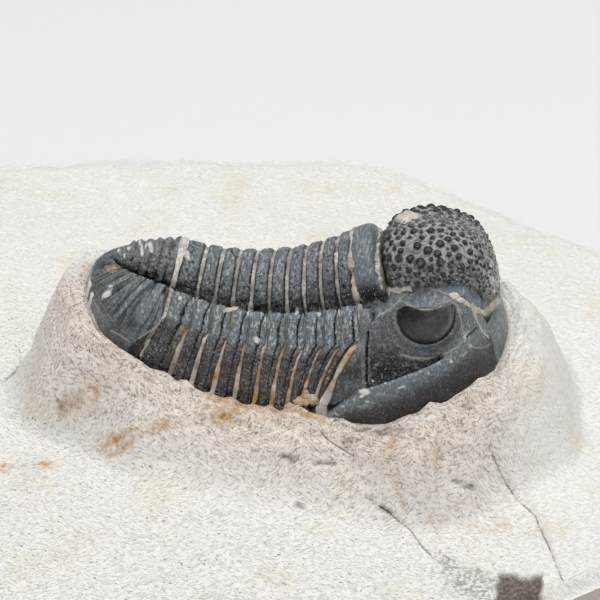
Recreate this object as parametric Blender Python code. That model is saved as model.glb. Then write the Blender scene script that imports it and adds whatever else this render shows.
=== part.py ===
# Gerastos trilobite in relief on its block of limestone
# Blender units are metres, +Z is up, and the trilobite's head points along +X.
# The shape functions work in millimetres and in body coordinates: s runs along the body's
# base curve towards the head, w is the distance from the middle plane, and h is the height
# above the base curve, along the body's own normal.
from math import pi, radians

import bmesh
import bpy
import numpy as np

MM = 0.001

# The block of limestone
BLOCK_LENGTH = 64.0
BLOCK_WIDTH = 57.0
BLOCK_SQUARENESS_REAR = 8.3
BLOCK_SQUARENESS_FRONT = 1.82
TOP_SHARE = 0.97
EDGE_ROUNDING = 0.9
EDGE_ROUNDING_FROM = 0.93
GROUND_HEIGHT = 14.4
GROUND_SWELL = 0.35
GROUND_RIPPLE = 0.25

# Dents of the block's outline: depth, number round the block, phase
OUTLINE_DENTS = ((0.057, 3, 2.2), (0.006, 7, 4.3))

# Where the squareness changes from the rear's to the front's, from -1 at the rear to 1 at the front
SQUARENESS_CHANGE = (-0.82, -0.34)

# The block's sides from the top edge down: share of the height, share of the full outline
SIDE_RINGS = ((0.88, 1.0), (0.45, 0.985), (0.0, 0.95))

# The pedestal on which the trilobite lies
PEDESTAL_SHELF = 0.7
PEDESTAL_FLANK = 5.3

# Rings of faces on the block's top: out to the trilobite's outline, to the edge of the
# pedestal's shelf, to the foot of its flank and to the block's edge
TOP_RINGS = (0, 6, 7, 11, 14)

# The trilobite's place on the block: the lowest point of its base curve
BODY_AT = (-1.0, -4.5, 18.0)

# The base curve: its pitch, and the lean of the cross-sections, at the tail and at the head
S_TAIL = -9.3
S_HEAD = 5.4
TAIL_PITCH = radians(-20)
HEAD_PITCH = radians(15)
LEAN = radians(14)

# Thorax, each triple being the value at its rear end, middle and front end
SEGMENTS = 10
SEGMENT_PITCH = 1.42
JOINT_GAP = 0.3
AXIS_HALF_WIDTH = (2.0, 2.7, 3.05)
AXIS_FURROW_HEIGHT = (4.5, 4.9, 5.6)
AXIS_RISE = (2.1, 2.35, 3.0)
FULCRUM_OUT = (3.6, 4.5, 4.9)
FULCRUM_HEIGHT = (3.3, 3.6, 3.9)
TIP_OUT = (4.7, 6.1, 6.4)
TIP_HEIGHT = 0.1

# The pleurae: arch and bend of the inner part, bend of the outer part
INNER_ARCH = 0.22
INNER_BEND = 1.6
OUTER_BEND = 1.7

# How far back the tips are swept: everywhere, more at the tail, more at the head
SWEEP_EVERYWHERE = 0.5
SWEEP_TAIL = 0.5
SWEEP_HEAD = 2.4
SWEEP_HEAD_FROM = 0.45
SWEEP_BEND = 1.25

# Relief of one segment, and where its furrows lie between its rear edge and its front edge
RING_RELIEF = 0.28
RING_FURROW = (0.72, 0.95)
PLEURA_RELIEF = 0.25
PLEURAL_FURROW = 0.45
PLEURAL_FURROW_WIDTH = 0.16
SEGMENT_STATIONS = (0.0, 0.2, 0.45, 0.75, 1.0)
RING_ANGLES = (0, 24, 48, 70, 89)
INNER_STATIONS = (0.15, 0.6, 1.0)
OUTER_STATIONS = (0.4, 0.75, 1.0)

# Tail shield
PYGIDIUM_LENGTH = 5.6
PYGIDIUM_AXIS_LENGTH = 4.1
PYGIDIUM_AXIS_TAPER = 0.55
PYGIDIUM_CREST_DROP = 0.5
PYGIDIUM_FURROW_DROP = 0.75
PYGIDIUM_MARGIN_HEIGHT = (0.1, 2.3)
PYGIDIUM_FRONT_SHARE = 0.3
PYGIDIUM_RINGS = 7
PYGIDIUM_RIBS = 6
RIB_BEND = 1.3
RING_WAVE = 0.13
RIB_WAVE = 0.10
AXIS_SHARE = 0.4
AXIS_STATIONS = (0.0, 0.35, 0.7, 1.0)
FIELD_STATIONS = (0.06, 0.3, 0.55, 0.78, 0.92, 1.0)

# Glabella and occipital ring
GLABELLA_MIDDLE = 9.9
GLABELLA_FRONT = 3.75
GLABELLA_REAR = 2.8
GLABELLA_HALF_WIDTH = 3.5
GLABELLA_SQUARENESS = 2.4
GLABELLA_CREST = 8.95
GLABELLA_SLOPE = 0.12
GLABELLA_FOOT = ((9.0, 11.0, 12.5, 13.7), (6.0, 5.9, 4.6, 1.4))
TUBERCLE_HEIGHT = 0.16
TUBERCLE_FIELD = 0.9
OCCIPITAL_LENGTH = 1.7
OCCIPITAL_HALF_WIDTH = 3.1
OCCIPITAL_FOOT = 5.7
OCCIPITAL_CREST = 8.85
OCCIPITAL_ROUNDING = 0.3
OCCIPITAL_FURROW_DEPTH = 0.5
OCCIPITAL_FURROW_WIDTH = 0.25

# Outline of the head, and its rolled border; pairs are stations along s and values there
HEAD_LENGTH = 8.5
HEAD_HALF_WIDTH = 7.8
HEAD_FULLNESS = 2.15
GENAL_TIP = (2.45, 7.3)
BORDER_FURROW = ((7.0, 10.5, 12.5), (0.885, 0.91, 0.935))
BORDER_HEIGHT = ((2.5, 8.0, 12.0, 14.0), (1.3, 1.8, 2.0, 1.6))
MARGIN_HEIGHT = ((2.5, 8.0, 12.0, 14.0), (-0.3, -0.2, 0.45, 0.75))
BORDER_ROLL = 0.5
BORDER_CREST = 0.4
CHEEK_TOP = ((11.0, 14.0), (5.9, 4.85))
CHEEK_BEND = 1.5
POSTERIOR_FURROW_DEPTH = 0.35
POSTERIOR_FURROW_WIDTH = 0.25
POSTERIOR_BORDER = 1.0

# Eyes
EYE_CENTRE = (10.3, 3.5)
EYE_REACH = (2.3, 1.85)
EYE_LOBE = 0.66
EYE_LOBE_ALONG = 0.22
EYE_TOP = 6.0
EYE_FOOT = 3.3

# The facial suture, from the posterior margin round the eye to the anterior margin
SUTURE_S = (4.6, 5.6, 6.2, 7.2, 8.1, 9.2, 10.4, 11.6, 12.3, 12.75, 13.1)
SUTURE_W = (5.6, 4.7, 4.3, 4.0, 3.95, 4.5, 4.7, 4.4, 4.0, 3.75, 3.3)
SUTURE_END_TURN = radians(64.5)

# How far down the plates reach, and their clearance to the rock
FLOOR_HEIGHT = ((-15.0, -12.4, -9.6, 1.0, 5.4), (0.9, 0.1, -0.4, -0.45, -0.75))
BED_GAP = 0.3

# Cells of the grids, across and along
CRANIDIUM_CELLS = (32, 28)
CHEEK_CELLS = (10, 24)
FLAT_ENOUGH = radians(1.2)
SHARP_EDGE = radians(35)

COLOURS = {
    "limestone": (0.80, 0.74, 0.65, 1.0),
    "fossil_shell": (0.045, 0.048, 0.055, 1.0),
}
ROUGHNESS = {"limestone": 0.92, "fossil_shell": 0.42}


def remove_old_objects():
    for old in list(bpy.data.objects):
        bpy.data.objects.remove(old, do_unlink=True)


# Small helpers

def thorax_share(s):
    """0 at the thorax's rear end, 1 at its front end."""
    return np.clip((s - S_TAIL) / (S_HEAD - S_TAIL), 0, 1)


def along_thorax(s, triple):
    """A parabola through the values at the thorax's rear end, middle and front end."""
    q = thorax_share(s)
    rear, middle, front = triple
    return rear * (1 - q) * (1 - 2 * q) + middle * 4 * q * (1 - q) + front * q * (2 * q - 1)


def smooth_step(low, high, value):
    q = np.clip((value - low) / (high - low), 0, 1)
    return q * q * (3 - 2 * q)


def bump(value, centre, width):
    return np.exp(-((value - centre) / width) ** 2)


def round_off(q):
    """From 1 at q = 0 down to 0 at q = 1, as a quarter of a circle."""
    return np.sqrt(np.clip(1 - np.clip(q, 0, 1) ** 2, 0, 1))


# The body frame

CURVE_S = np.linspace(-18, 18, 721)
CURVE_PITCH = np.interp(CURVE_S, [S_TAIL, S_HEAD], [TAIL_PITCH, HEAD_PITCH])
CURVE_LEAN = np.interp(CURVE_S, [S_TAIL, S_HEAD], [-LEAN, LEAN])


def run_of_curve(rate):
    steps = (rate[1:] + rate[:-1]) / 2 * np.diff(CURVE_S)
    return np.concatenate([[0], np.cumsum(steps)])


CURVE_X = run_of_curve(np.cos(CURVE_PITCH))
CURVE_X = CURVE_X - np.interp(0, CURVE_S, CURVE_X)
CURVE_Z = run_of_curve(np.sin(CURVE_PITCH))
CURVE_Z = CURVE_Z - CURVE_Z.min()


def place(s, y, h):
    """World position in millimetres of a point in body coordinates."""
    lean = np.interp(s, CURVE_S, CURVE_LEAN)
    x = np.interp(s, CURVE_S, CURVE_X) - h * np.sin(lean)
    z = np.interp(s, CURVE_S, CURVE_Z) + h * np.cos(lean)
    return x + BODY_AT[0], y + BODY_AT[1], z + BODY_AT[2]


def floor_height(s):
    return np.interp(s, *FLOOR_HEIGHT)


# Thorax

def sweep_back(s):
    q = thorax_share(s)
    at_head = np.clip((q - SWEEP_HEAD_FROM) / (1 - SWEEP_HEAD_FROM), 0, 1) ** 1.5
    return SWEEP_EVERYWHERE + SWEEP_TAIL * (1 - q) ** 4 + SWEEP_HEAD * at_head


def swept(s, w):
    """Where a transverse line that leaves the middle plane at s has got to at w."""
    fulcrum = along_thorax(s, FULCRUM_OUT)
    reach = along_thorax(s, TIP_OUT) - fulcrum
    return s - sweep_back(s) * np.clip((w - fulcrum) / reach, 0, 1) ** SWEEP_BEND


def thorax_profile(s, w):
    """Height of the plain cross-section: arched axis, flat inner pleura, steep outer pleura."""
    half = along_thorax(s, AXIS_HALF_WIDTH)
    furrow = along_thorax(s, AXIS_FURROW_HEIGHT)
    fulcrum = along_thorax(s, FULCRUM_OUT)
    shoulder = along_thorax(s, FULCRUM_HEIGHT)
    tip = along_thorax(s, TIP_OUT)
    axis = furrow + along_thorax(s, AXIS_RISE) * round_off(w / half)
    inner = np.clip((w - half) / (fulcrum - half), 0, 1)
    flat = furrow + (shoulder - furrow) * inner ** INNER_BEND + INNER_ARCH * np.sin(pi * inner)
    outer = np.clip((w - fulcrum) / (tip - fulcrum), 0, 1)
    steep = TIP_HEIGHT + (shoulder - TIP_HEIGHT) * (1 - outer ** OUTER_BEND)
    return np.where(w < half, axis, np.where(w < fulcrum, flat, steep))


def segment_relief(s, w, t):
    """Ring and pleural bands across one segment, t running from its rear edge to its front edge."""
    half = along_thorax(s, AXIS_HALF_WIDTH)
    rolled = np.abs(2 * t - 1) ** 3
    ring = -RING_RELIEF * (rolled + smooth_step(*RING_FURROW, t))
    pleura = -PLEURA_RELIEF * (rolled + bump(t, PLEURAL_FURROW, PLEURAL_FURROW_WIDTH))
    return np.where(w < half, ring, pleura)


def half_columns(s):
    """The w values of the points on one side: ring, inner pleura, outer pleura."""
    half = along_thorax(s, AXIS_HALF_WIDTH)
    fulcrum = along_thorax(s, FULCRUM_OUT)
    tip = along_thorax(s, TIP_OUT)
    ring = [half * np.sin(radians(angle)) for angle in RING_ANGLES]
    inner = [half + (fulcrum - half) * q for q in INNER_STATIONS]
    outer = [fulcrum + (tip - fulcrum) * q for q in OUTER_STATIONS]
    return ring + inner + outer


def both_sides(half):
    """Signed y values from the left margin to the right one."""
    return [w for w in reversed(half)] + [-w for w in half[1:]]


# Tail shield

def pygidium_margin(turn):
    """A point of the margin, from the front corner at turn 0 to the rear tip at a quarter."""
    corner = S_TAIL - JOINT_GAP / 2 - sweep_back(S_TAIL)
    s = corner - (PYGIDIUM_LENGTH - S_TAIL + corner) * np.sin(turn)
    low, high = PYGIDIUM_MARGIN_HEIGHT
    return s, TIP_OUT[0] * np.cos(turn), low + (high - low) * np.sin(turn)


def pygidium_point(u, v):
    """A point at u along the axis, from the front, and v from the middle to the margin."""
    axis_s = S_TAIL - JOINT_GAP / 2 - PYGIDIUM_AXIS_LENGTH * u
    half = AXIS_HALF_WIDTH[0] * (1 - PYGIDIUM_AXIS_TAPER * u) * round_off(u ** 4)
    crest = AXIS_RISE[0] * (1 - PYGIDIUM_CREST_DROP * u) * round_off(u ** 5)
    furrow = AXIS_FURROW_HEIGHT[0] - PYGIDIUM_FURROW_DROP * u
    if v <= AXIS_SHARE:
        across = 0.5 * pi * v / AXIS_SHARE
        rings = RING_WAVE * np.cos(2 * pi * PYGIDIUM_RINGS * u) * (1 - u)
        return axis_s, half * np.sin(across), furrow + crest * np.cos(across) + rings
    out = (v - AXIS_SHARE) / (1 - AXIS_SHARE)
    margin_s, margin_w, margin_h = pygidium_margin(0.5 * pi * u)
    w = half + (margin_w - half) * out
    rib_s = axis_s + (margin_s - axis_s) * out ** RIB_BEND
    front_s = swept(S_TAIL, w) - JOINT_GAP / 2
    s = rib_s + (front_s - rib_s) * (1 - smooth_step(0, PYGIDIUM_FRONT_SHARE, u))
    ribs = RIB_WAVE * np.cos(2 * pi * PYGIDIUM_RIBS * u) * (1 - u) * np.sin(pi * out ** 0.7)
    return s, w, margin_h + (furrow - margin_h) * (1 - out ** 2) + ribs


# Head

def glabella_distance(s, w):
    """1 on the furrow round the glabella, 0 at its middle."""
    reach = np.where(s > GLABELLA_MIDDLE, GLABELLA_FRONT, GLABELLA_REAR)
    along = np.abs(s - GLABELLA_MIDDLE) / reach
    power = GLABELLA_SQUARENESS
    return (along ** power + (w / GLABELLA_HALF_WIDTH) ** power) ** (1 / power)


def margin_distance(s, w):
    """1 on the head's margin, less inside it."""
    power = HEAD_FULLNESS
    forward = np.clip((s - S_HEAD) / HEAD_LENGTH, 0, None) ** power
    ahead = (forward + (w / HEAD_HALF_WIDTH) ** power) ** (1 / power)
    behind = np.clip((S_HEAD - s) / (S_HEAD - GENAL_TIP[0]), 0, 1)
    side = HEAD_HALF_WIDTH - (HEAD_HALF_WIDTH - GENAL_TIP[1]) * behind ** 2
    return np.where(s > S_HEAD, ahead, w / side)


def cheek_height(s, w):
    """Cheek from the glabella down to the border furrow, then the rolled border."""
    outside_glabella = np.clip(glabella_distance(s, w) - 1, 0, None) * GLABELLA_HALF_WIDTH
    m = margin_distance(s, w)
    furrow = np.interp(s, *BORDER_FURROW)
    border = np.interp(s, *BORDER_HEIGHT)
    margin = np.interp(s, *MARGIN_HEIGHT)
    inside_furrow = np.clip(furrow - m, 0, None) * HEAD_HALF_WIDTH
    u = outside_glabella / (outside_glabella + inside_furrow + 1e-6)
    slope = border + (np.interp(s, *CHEEK_TOP) - border) * (1 - u ** CHEEK_BEND)
    q = np.clip((m - furrow) / (1 - furrow), 0, 1)
    roll = border + BORDER_ROLL * np.sin(0.5 * pi * np.clip(q / BORDER_CREST, 0, 1))
    fall = round_off(np.clip((q - BORDER_CREST) / (1 - BORDER_CREST), 0, 1))
    return np.where(m < furrow, slope, margin + (roll - margin) * fall)


def eye_height(s, w):
    """The lobe over the eye, then the steep visual surface down to its foot."""
    ds = (s - EYE_CENTRE[0]) / EYE_REACH[0]
    dw = (w - EYE_CENTRE[1]) / EYE_REACH[1]
    e = np.sqrt(ds ** 2 + dw ** 2)
    lobe = EYE_LOBE + EYE_LOBE_ALONG * np.clip(np.abs(ds) / (e + 1e-6), 0, 1) ** 2
    fall = round_off(np.clip((e - lobe) / (1 - lobe), 0, 1))
    nowhere = -10.0
    return np.where(e < 1, EYE_FOOT + (EYE_TOP - EYE_FOOT) * fall, nowhere)


def head_height(s, w):
    """Height of the head: cheeks and eyes, with the glabella and the occipital ring on top."""
    behind_furrow = s - swept(S_HEAD, w)
    furrow = bump(behind_furrow, POSTERIOR_BORDER, POSTERIOR_FURROW_WIDTH)
    beside_ring = smooth_step(OCCIPITAL_HALF_WIDTH + 0.1, OCCIPITAL_HALF_WIDTH + 0.7, w)
    cheek = cheek_height(s, w) - POSTERIOR_FURROW_DEPTH * furrow * beside_ring
    shell = np.maximum(cheek, eye_height(s, w))
    g = glabella_distance(s, w)
    foot = np.interp(s, *GLABELLA_FOOT)
    crest = GLABELLA_CREST - GLABELLA_SLOPE * (s - GLABELLA_MIDDLE)
    dome = foot + (crest - foot) * np.clip(1 - g ** 2.5, 0, 1) ** 0.4
    shell = np.where(g < 1, dome, shell)
    across = w / OCCIPITAL_HALF_WIDTH
    t = np.clip((s - S_HEAD) / OCCIPITAL_LENGTH, 0, 1)
    ring = OCCIPITAL_FOOT + (OCCIPITAL_CREST - OCCIPITAL_FOOT) * round_off(across)
    ring = ring - OCCIPITAL_ROUNDING * np.abs(2 * t - 1) ** 3
    shell = np.where((t < 1) & (across < 1), ring, shell)
    groove = bump(s, S_HEAD + OCCIPITAL_LENGTH, OCCIPITAL_FURROW_WIDTH)
    return shell - OCCIPITAL_FURROW_DEPTH * groove * smooth_step(GLABELLA_HALF_WIDTH, 2.8, w)


def suture_out(s):
    return np.interp(s, SUTURE_S, SUTURE_W)


def cranidium_point(a, b):
    """a runs from the rear edge to the front, b from -1 on the right to 1 on the left."""
    rear = S_HEAD + JOINT_GAP / 2
    s_middle = rear + (S_HEAD + HEAD_LENGTH - rear) * a
    edge_s = SUTURE_S[0] + JOINT_GAP / 2 + (SUTURE_S[-1] - SUTURE_S[0]) * a
    w = (suture_out(edge_s) - JOINT_GAP / 2) * np.abs(b)
    s = s_middle + (edge_s - s_middle) * np.abs(b) ** 2.5
    s = np.maximum(s, swept(S_HEAD, w) + JOINT_GAP / 2)
    return s, np.sign(b) * w, head_height(s, w)


def head_outline(turn):
    """A point of the head's margin, from its widest place at turn 0 to its front."""
    power = 2 / HEAD_FULLNESS
    return S_HEAD + HEAD_LENGTH * np.sin(turn) ** power, HEAD_HALF_WIDTH * np.cos(turn) ** power


def cheek_point(a, b):
    """a runs from the front end to the posterior margin, b from the suture to the margin."""
    inner_s = SUTURE_S[-1] + (SUTURE_S[0] - SUTURE_S[-1]) * a
    inner_w = suture_out(inner_s) + JOINT_GAP / 2
    outer_s, outer_w = head_outline(SUTURE_END_TURN * (1 - a))
    to_genal_tip = smooth_step(0.7, 1.0, a)
    outer_s = outer_s + (GENAL_TIP[0] - outer_s) * to_genal_tip
    outer_w = outer_w + (GENAL_TIP[1] - outer_w) * to_genal_tip
    w = inner_w + (outer_w - inner_w) * b
    s = np.maximum(inner_s + (outer_s - inner_s) * b, swept(S_HEAD, w) + JOINT_GAP / 2)
    return s, w, head_height(s, w)


# Turning shape functions into solids

def material(name):
    found = bpy.data.materials.get(name)
    if found:
        return found
    made = bpy.data.materials.new(name)
    made.use_nodes = True
    shader = made.node_tree.nodes["Principled BSDF"]
    shader.inputs["Base Color"].default_value = COLOURS[name]
    shader.inputs["Roughness"].default_value = ROUGHNESS[name]
    return made


def finish(bm, name, finish_name):
    bmesh.ops.recalc_face_normals(bm, faces=bm.faces[:])
    mesh = bpy.data.meshes.new(name)
    bm.to_mesh(mesh)
    bm.free()
    mesh.materials.append(material(finish_name))
    mesh.shade_smooth()
    mesh.set_sharp_from_angle(angle=SHARP_EDGE)
    made = bpy.data.objects.new(name, mesh)
    bpy.context.scene.collection.objects.link(made)
    return made


def grid_of(columns, rows):
    bm = bmesh.new()
    bmesh.ops.create_grid(bm, x_segments=columns, y_segments=rows, size=1.0)
    bm.verts.ensure_lookup_table()
    return bm


def shape_grid(bm, columns, rows, point):
    """Moves a grid's vertices to the shape and returns the floor point under each of them."""
    source = bm.verts.layers.int.new("source")
    under = []
    for row in range(rows + 1):
        for column in range(columns + 1):
            vert = bm.verts[row * (columns + 1) + column]
            s, y, h = point(column, row)
            vert.co = [value * MM for value in place(s, y, h)]
            vert[source] = len(under)
            under.append([value * MM for value in place(s, y, floor_height(s))])
    return under


def shell_solid(name, columns, rows, point, tubercle_at=None):
    """A solid plate: its top is a grid shaped by point(column, row), its sides go down."""
    bm = grid_of(columns, rows)
    number = bm.faces.layers.int.new("number")
    for index, face in enumerate(bm.faces):
        face[number] = index
    under = shape_grid(bm, columns, rows, point)
    bmesh.ops.remove_doubles(bm, verts=bm.verts[:], dist=0.02 * MM)
    top = bm.faces[:]
    source = bm.verts.layers.int["source"]
    for item in bmesh.ops.extrude_face_region(bm, geom=top)["geom"]:
        if isinstance(item, bmesh.types.BMVert):
            item.co = under[item[source]]
    bmesh.ops.recalc_face_normals(bm, faces=bm.faces[:])
    if tubercle_at:
        chosen = [face for face in top if tubercle_at(face[number] % columns, face[number] // columns)]
        bmesh.ops.poke(bm, faces=chosen, offset=TUBERCLE_HEIGHT * MM)
    bmesh.ops.dissolve_limit(bm, angle_limit=FLAT_ENOUGH, verts=bm.verts[:], edges=bm.edges[:])
    return finish(bm, name, "fossil_shell")


def thorax_segment(number):
    front = S_HEAD - (number - 1) * SEGMENT_PITCH - JOINT_GAP / 2
    rear = S_HEAD - number * SEGMENT_PITCH + JOINT_GAP / 2
    if number == SEGMENTS:
        rear = S_TAIL + JOINT_GAP / 2
    columns = 2 * len(RING_ANGLES + INNER_STATIONS + OUTER_STATIONS) - 2

    def point(column, row):
        t = SEGMENT_STATIONS[row]
        s = rear + (front - rear) * t
        y = both_sides(half_columns(s))[column]
        w = abs(y)
        return swept(s, w), y, thorax_profile(s, w) + segment_relief(s, w, t)

    return shell_solid(f"thorax_segment_{number:02d}", columns, len(SEGMENT_STATIONS) - 1, point)


def pygidium():
    shares = [AXIS_SHARE * q for q in AXIS_STATIONS]
    shares += [AXIS_SHARE + (1 - AXIS_SHARE) * q for q in FIELD_STATIONS]
    across = both_sides(shares)
    rows = 2 * PYGIDIUM_RINGS + 2

    def point(column, row):
        s, w, h = pygidium_point(row / rows, abs(across[column]))
        return s, np.sign(across[column]) * w, h

    return shell_solid("pygidium", len(across) - 1, rows, point)


def cranidium():
    columns, rows = CRANIDIUM_CELLS

    def point(column, row):
        return cranidium_point(row / rows, 1 - 2 * column / columns)

    def tubercle_at(column, row):
        s, y, _ = point(column + 0.5, row + 0.5)
        return glabella_distance(s, abs(y)) < TUBERCLE_FIELD and (column + row) % 2 == 0

    return shell_solid("cranidium", columns, rows, point, tubercle_at)


def free_cheek(side):
    columns, rows = CHEEK_CELLS
    sign = 1 if side == "left" else -1

    def point(column, row):
        s, w, h = cheek_point(row / rows, column / columns)
        return s, sign * w, h

    return shell_solid(f"free_cheek_{side}", columns, rows, point)


# The block

def raw_outline(turn):
    """The block's outline at an angle, before it is fitted to size: a dented oblong."""
    to_front = smooth_step(*SQUARENESS_CHANGE, np.cos(turn))
    power = 2 / (BLOCK_SQUARENESS_REAR + (BLOCK_SQUARENESS_FRONT - BLOCK_SQUARENESS_REAR) * to_front)
    dents = 1 + sum(depth * np.sin(number * turn + phase) for depth, number, phase in OUTLINE_DENTS)
    x = np.sign(np.cos(turn)) * np.abs(np.cos(turn)) ** power
    y = np.sign(np.sin(turn)) * np.abs(np.sin(turn)) ** power
    return x * dents, y * dents


RAW_X, RAW_Y = raw_outline(np.linspace(0, 2 * pi, 2881))


def block_edge(turn):
    """A point of the top's edge, with the block's outline fitted to its length and width."""
    x, y = raw_outline(turn)
    along = (2 * x - RAW_X.max() - RAW_X.min()) / (RAW_X.max() - RAW_X.min())
    across = (2 * y - RAW_Y.max() - RAW_Y.min()) / (RAW_Y.max() - RAW_Y.min())
    return along * TOP_SHARE * BLOCK_LENGTH / 2, across * TOP_SHARE * BLOCK_WIDTH / 2


def body_outline():
    """Directions and distances, from the body's place, of the points of its left margin."""
    turn = np.linspace(0, 0.5 * pi, 30)
    tail_s, tail_w, _ = pygidium_margin(turn)
    head_s, head_w = head_outline(turn)
    side_s = np.linspace(S_TAIL, GENAL_TIP[0], 40)
    genal_s = np.linspace(GENAL_TIP[0], S_HEAD, 8)
    s = np.concatenate([head_s, genal_s, swept(side_s, along_thorax(side_s, TIP_OUT)), tail_s])
    w = np.concatenate([head_w, genal_s * 0 + GENAL_TIP[1], along_thorax(side_s, TIP_OUT), tail_w])
    x, _, _ = place(s, w, floor_height(s))
    direction = np.arctan2(w, x - BODY_AT[0])
    order = np.argsort(direction)
    return direction[order], np.hypot(x - BODY_AT[0], w)[order]


BODY_DIRECTIONS, BODY_DISTANCES = body_outline()
BED_X, _, BED_Z = place(CURVE_S, 0, floor_height(CURVE_S) - BED_GAP)


def block_plan(turn, ring):
    """Plan position on the top: rings round the trilobite that open out to the block's edge."""
    margin = np.interp(abs(turn), BODY_DIRECTIONS, BODY_DISTANCES)
    shelf = margin + PEDESTAL_SHELF
    distances = np.array([0, margin, shelf, shelf + PEDESTAL_FLANK])
    edge_x, edge_y = block_edge(turn)
    x = np.append(BODY_AT[0] + distances * np.cos(turn), edge_x)
    y = np.append(BODY_AT[1] + distances * np.sin(turn), edge_y)
    return np.interp(ring, TOP_RINGS, x), np.interp(ring, TOP_RINGS, y)


def ground_height(x, y):
    swell = GROUND_SWELL * np.sin(0.16 * x + 0.4) * np.cos(0.13 * y)
    ripple = GROUND_RIPPLE * np.sin(0.35 * x + 0.27 * y)
    return GROUND_HEIGHT + swell + ripple


def block_top(x, y, ring):
    """Height of the rock: the pedestal under the trilobite, falling to uneven ground."""
    _, _, shelf, foot, edge = TOP_RINGS
    bed = np.interp(x, BED_X, BED_Z)
    fall = smooth_step(shelf, foot, ring)
    rounding = EDGE_ROUNDING * smooth_step(EDGE_ROUNDING_FROM * edge, edge, ring)
    return bed + (ground_height(x, y) - bed) * fall - rounding


def add_block_sides(bm):
    rim = [edge for edge in bm.edges if edge.is_boundary]
    share = TOP_SHARE
    level = 1.0
    for next_level, next_share in SIDE_RINGS:
        grown = bmesh.ops.extrude_edge_only(bm, edges=rim)["geom"]
        rim = [item for item in grown if isinstance(item, bmesh.types.BMEdge) and item.is_boundary]
        for vert in [item for item in grown if isinstance(item, bmesh.types.BMVert)]:
            vert.co.x *= next_share / share
            vert.co.y *= next_share / share
            vert.co.z *= next_level / level
        share, level = next_share, next_level
    bmesh.ops.contextual_create(bm, geom=rim)


def matrix_block():
    rings = TOP_RINGS[-1]
    bm = grid_of(2 * rings, 2 * rings)
    for vert in bm.verts:
        turn = np.arctan2(vert.co.y, vert.co.x)
        ring = max(abs(vert.co.x), abs(vert.co.y)) * rings
        x, y = block_plan(turn, ring)
        vert.co = (x * MM, y * MM, block_top(x, y, ring) * MM)
    add_block_sides(bm)
    return finish(bm, "matrix", "limestone")


def main():
    remove_old_objects()
    matrix_block()
    pygidium()
    for number in range(1, SEGMENTS + 1):
        thorax_segment(number)
    cranidium()
    for side in ("right", "left"):
        free_cheek(side)


main()
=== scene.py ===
# Looks of the Gerastos trilobite on its block of limestone
from math import cos, pi, radians, sin

import bmesh
import bpy
import numpy as np
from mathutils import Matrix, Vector


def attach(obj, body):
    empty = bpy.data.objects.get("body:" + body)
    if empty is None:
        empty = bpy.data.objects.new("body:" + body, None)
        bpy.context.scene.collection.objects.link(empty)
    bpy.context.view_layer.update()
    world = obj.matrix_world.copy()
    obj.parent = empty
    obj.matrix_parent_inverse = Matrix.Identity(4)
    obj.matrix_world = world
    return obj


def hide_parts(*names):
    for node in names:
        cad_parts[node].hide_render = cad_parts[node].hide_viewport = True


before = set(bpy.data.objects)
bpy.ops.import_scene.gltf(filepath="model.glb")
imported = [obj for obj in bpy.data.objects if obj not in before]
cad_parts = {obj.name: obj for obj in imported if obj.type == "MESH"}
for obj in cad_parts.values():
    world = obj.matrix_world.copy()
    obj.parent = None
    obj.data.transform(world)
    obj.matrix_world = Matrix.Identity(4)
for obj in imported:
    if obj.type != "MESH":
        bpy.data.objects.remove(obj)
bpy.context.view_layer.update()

MM = 0.001
MM_PER_PIXEL = 0.067

# The body's place and posture, in millimetres and radians, as in the solids
BODY_AT = (-1.0, -4.5, 18.0)
S_TAIL = -9.3
S_HEAD = 5.4
TAIL_PITCH = radians(-20)
HEAD_PITCH = radians(15)
LEAN = radians(14)

# Thorax, each triple being the value at its rear end, middle and front end
SEGMENTS = 10
SEGMENT_PITCH = 1.42
JOINT_GAP = 0.3
HALF_GAP = JOINT_GAP / 2
SEAM_SHARE = 0.4
AXIS_HALF_WIDTH = (2.0, 2.7, 3.05)
AXIS_FURROW_HEIGHT = (4.5, 4.9, 5.6)
AXIS_RISE = (2.1, 2.35, 3.0)
FULCRUM_OUT = (3.6, 4.5, 4.9)
FULCRUM_HEIGHT = (3.3, 3.6, 3.9)
TIP_OUT = (4.7, 6.1, 6.4)
TIP_HEIGHT = 0.1
INNER_ARCH = 0.22
INNER_BEND = 1.6
OUTER_BEND = 1.7
SWEEP_EVERYWHERE = 0.5
SWEEP_TAIL = 0.5
SWEEP_HEAD = 2.8
SWEEP_HEAD_FROM = 0.45

# Tail shield
PYGIDIUM_LENGTH = 5.6
PYGIDIUM_AXIS_LENGTH = 4.1
PYGIDIUM_AXIS_TAPER = 0.55
PYGIDIUM_CREST_DROP = 0.5
PYGIDIUM_FURROW_DROP = 0.75
PYGIDIUM_MARGIN_HEIGHT = (0.1, 2.3)
PYGIDIUM_FRONT_SHARE = 0.3
PYGIDIUM_RINGS = 7
PYGIDIUM_RIBS = 7.5
RIB_BEND = 1.3
AXIS_SHARE = 0.4

# Glabella and occipital ring
GLABELLA_MIDDLE = 9.9
GLABELLA_FRONT = 3.75
GLABELLA_REAR = 2.8
GLABELLA_HALF_WIDTH = 3.5
GLABELLA_SQUARENESS = 2.4
GLABELLA_CREST = 8.95
GLABELLA_SLOPE = 0.12
GLABELLA_FOOT = ((9.0, 11.0, 12.5, 13.7), (6.0, 5.9, 4.6, 1.4))
GLABELLA_FULLNESS = 2.5
GLABELLA_BULGE = 0.62
OCCIPITAL_LENGTH = 1.7
OCCIPITAL_FRONT = S_HEAD + OCCIPITAL_LENGTH
OCCIPITAL_HALF_WIDTH = 3.1
OCCIPITAL_FOOT = 5.7
OCCIPITAL_CREST = 8.85

# Knobs: the part of their spacing that they fill, their sizes, and seeded tries to place them
KNOB_SHARE = 0.84
KNOB_SIZES = (0.45, 1.2)
HEAD_KNOBS = (30000, 7)
TAIL_KNOBS = (9000, 5)

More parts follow.
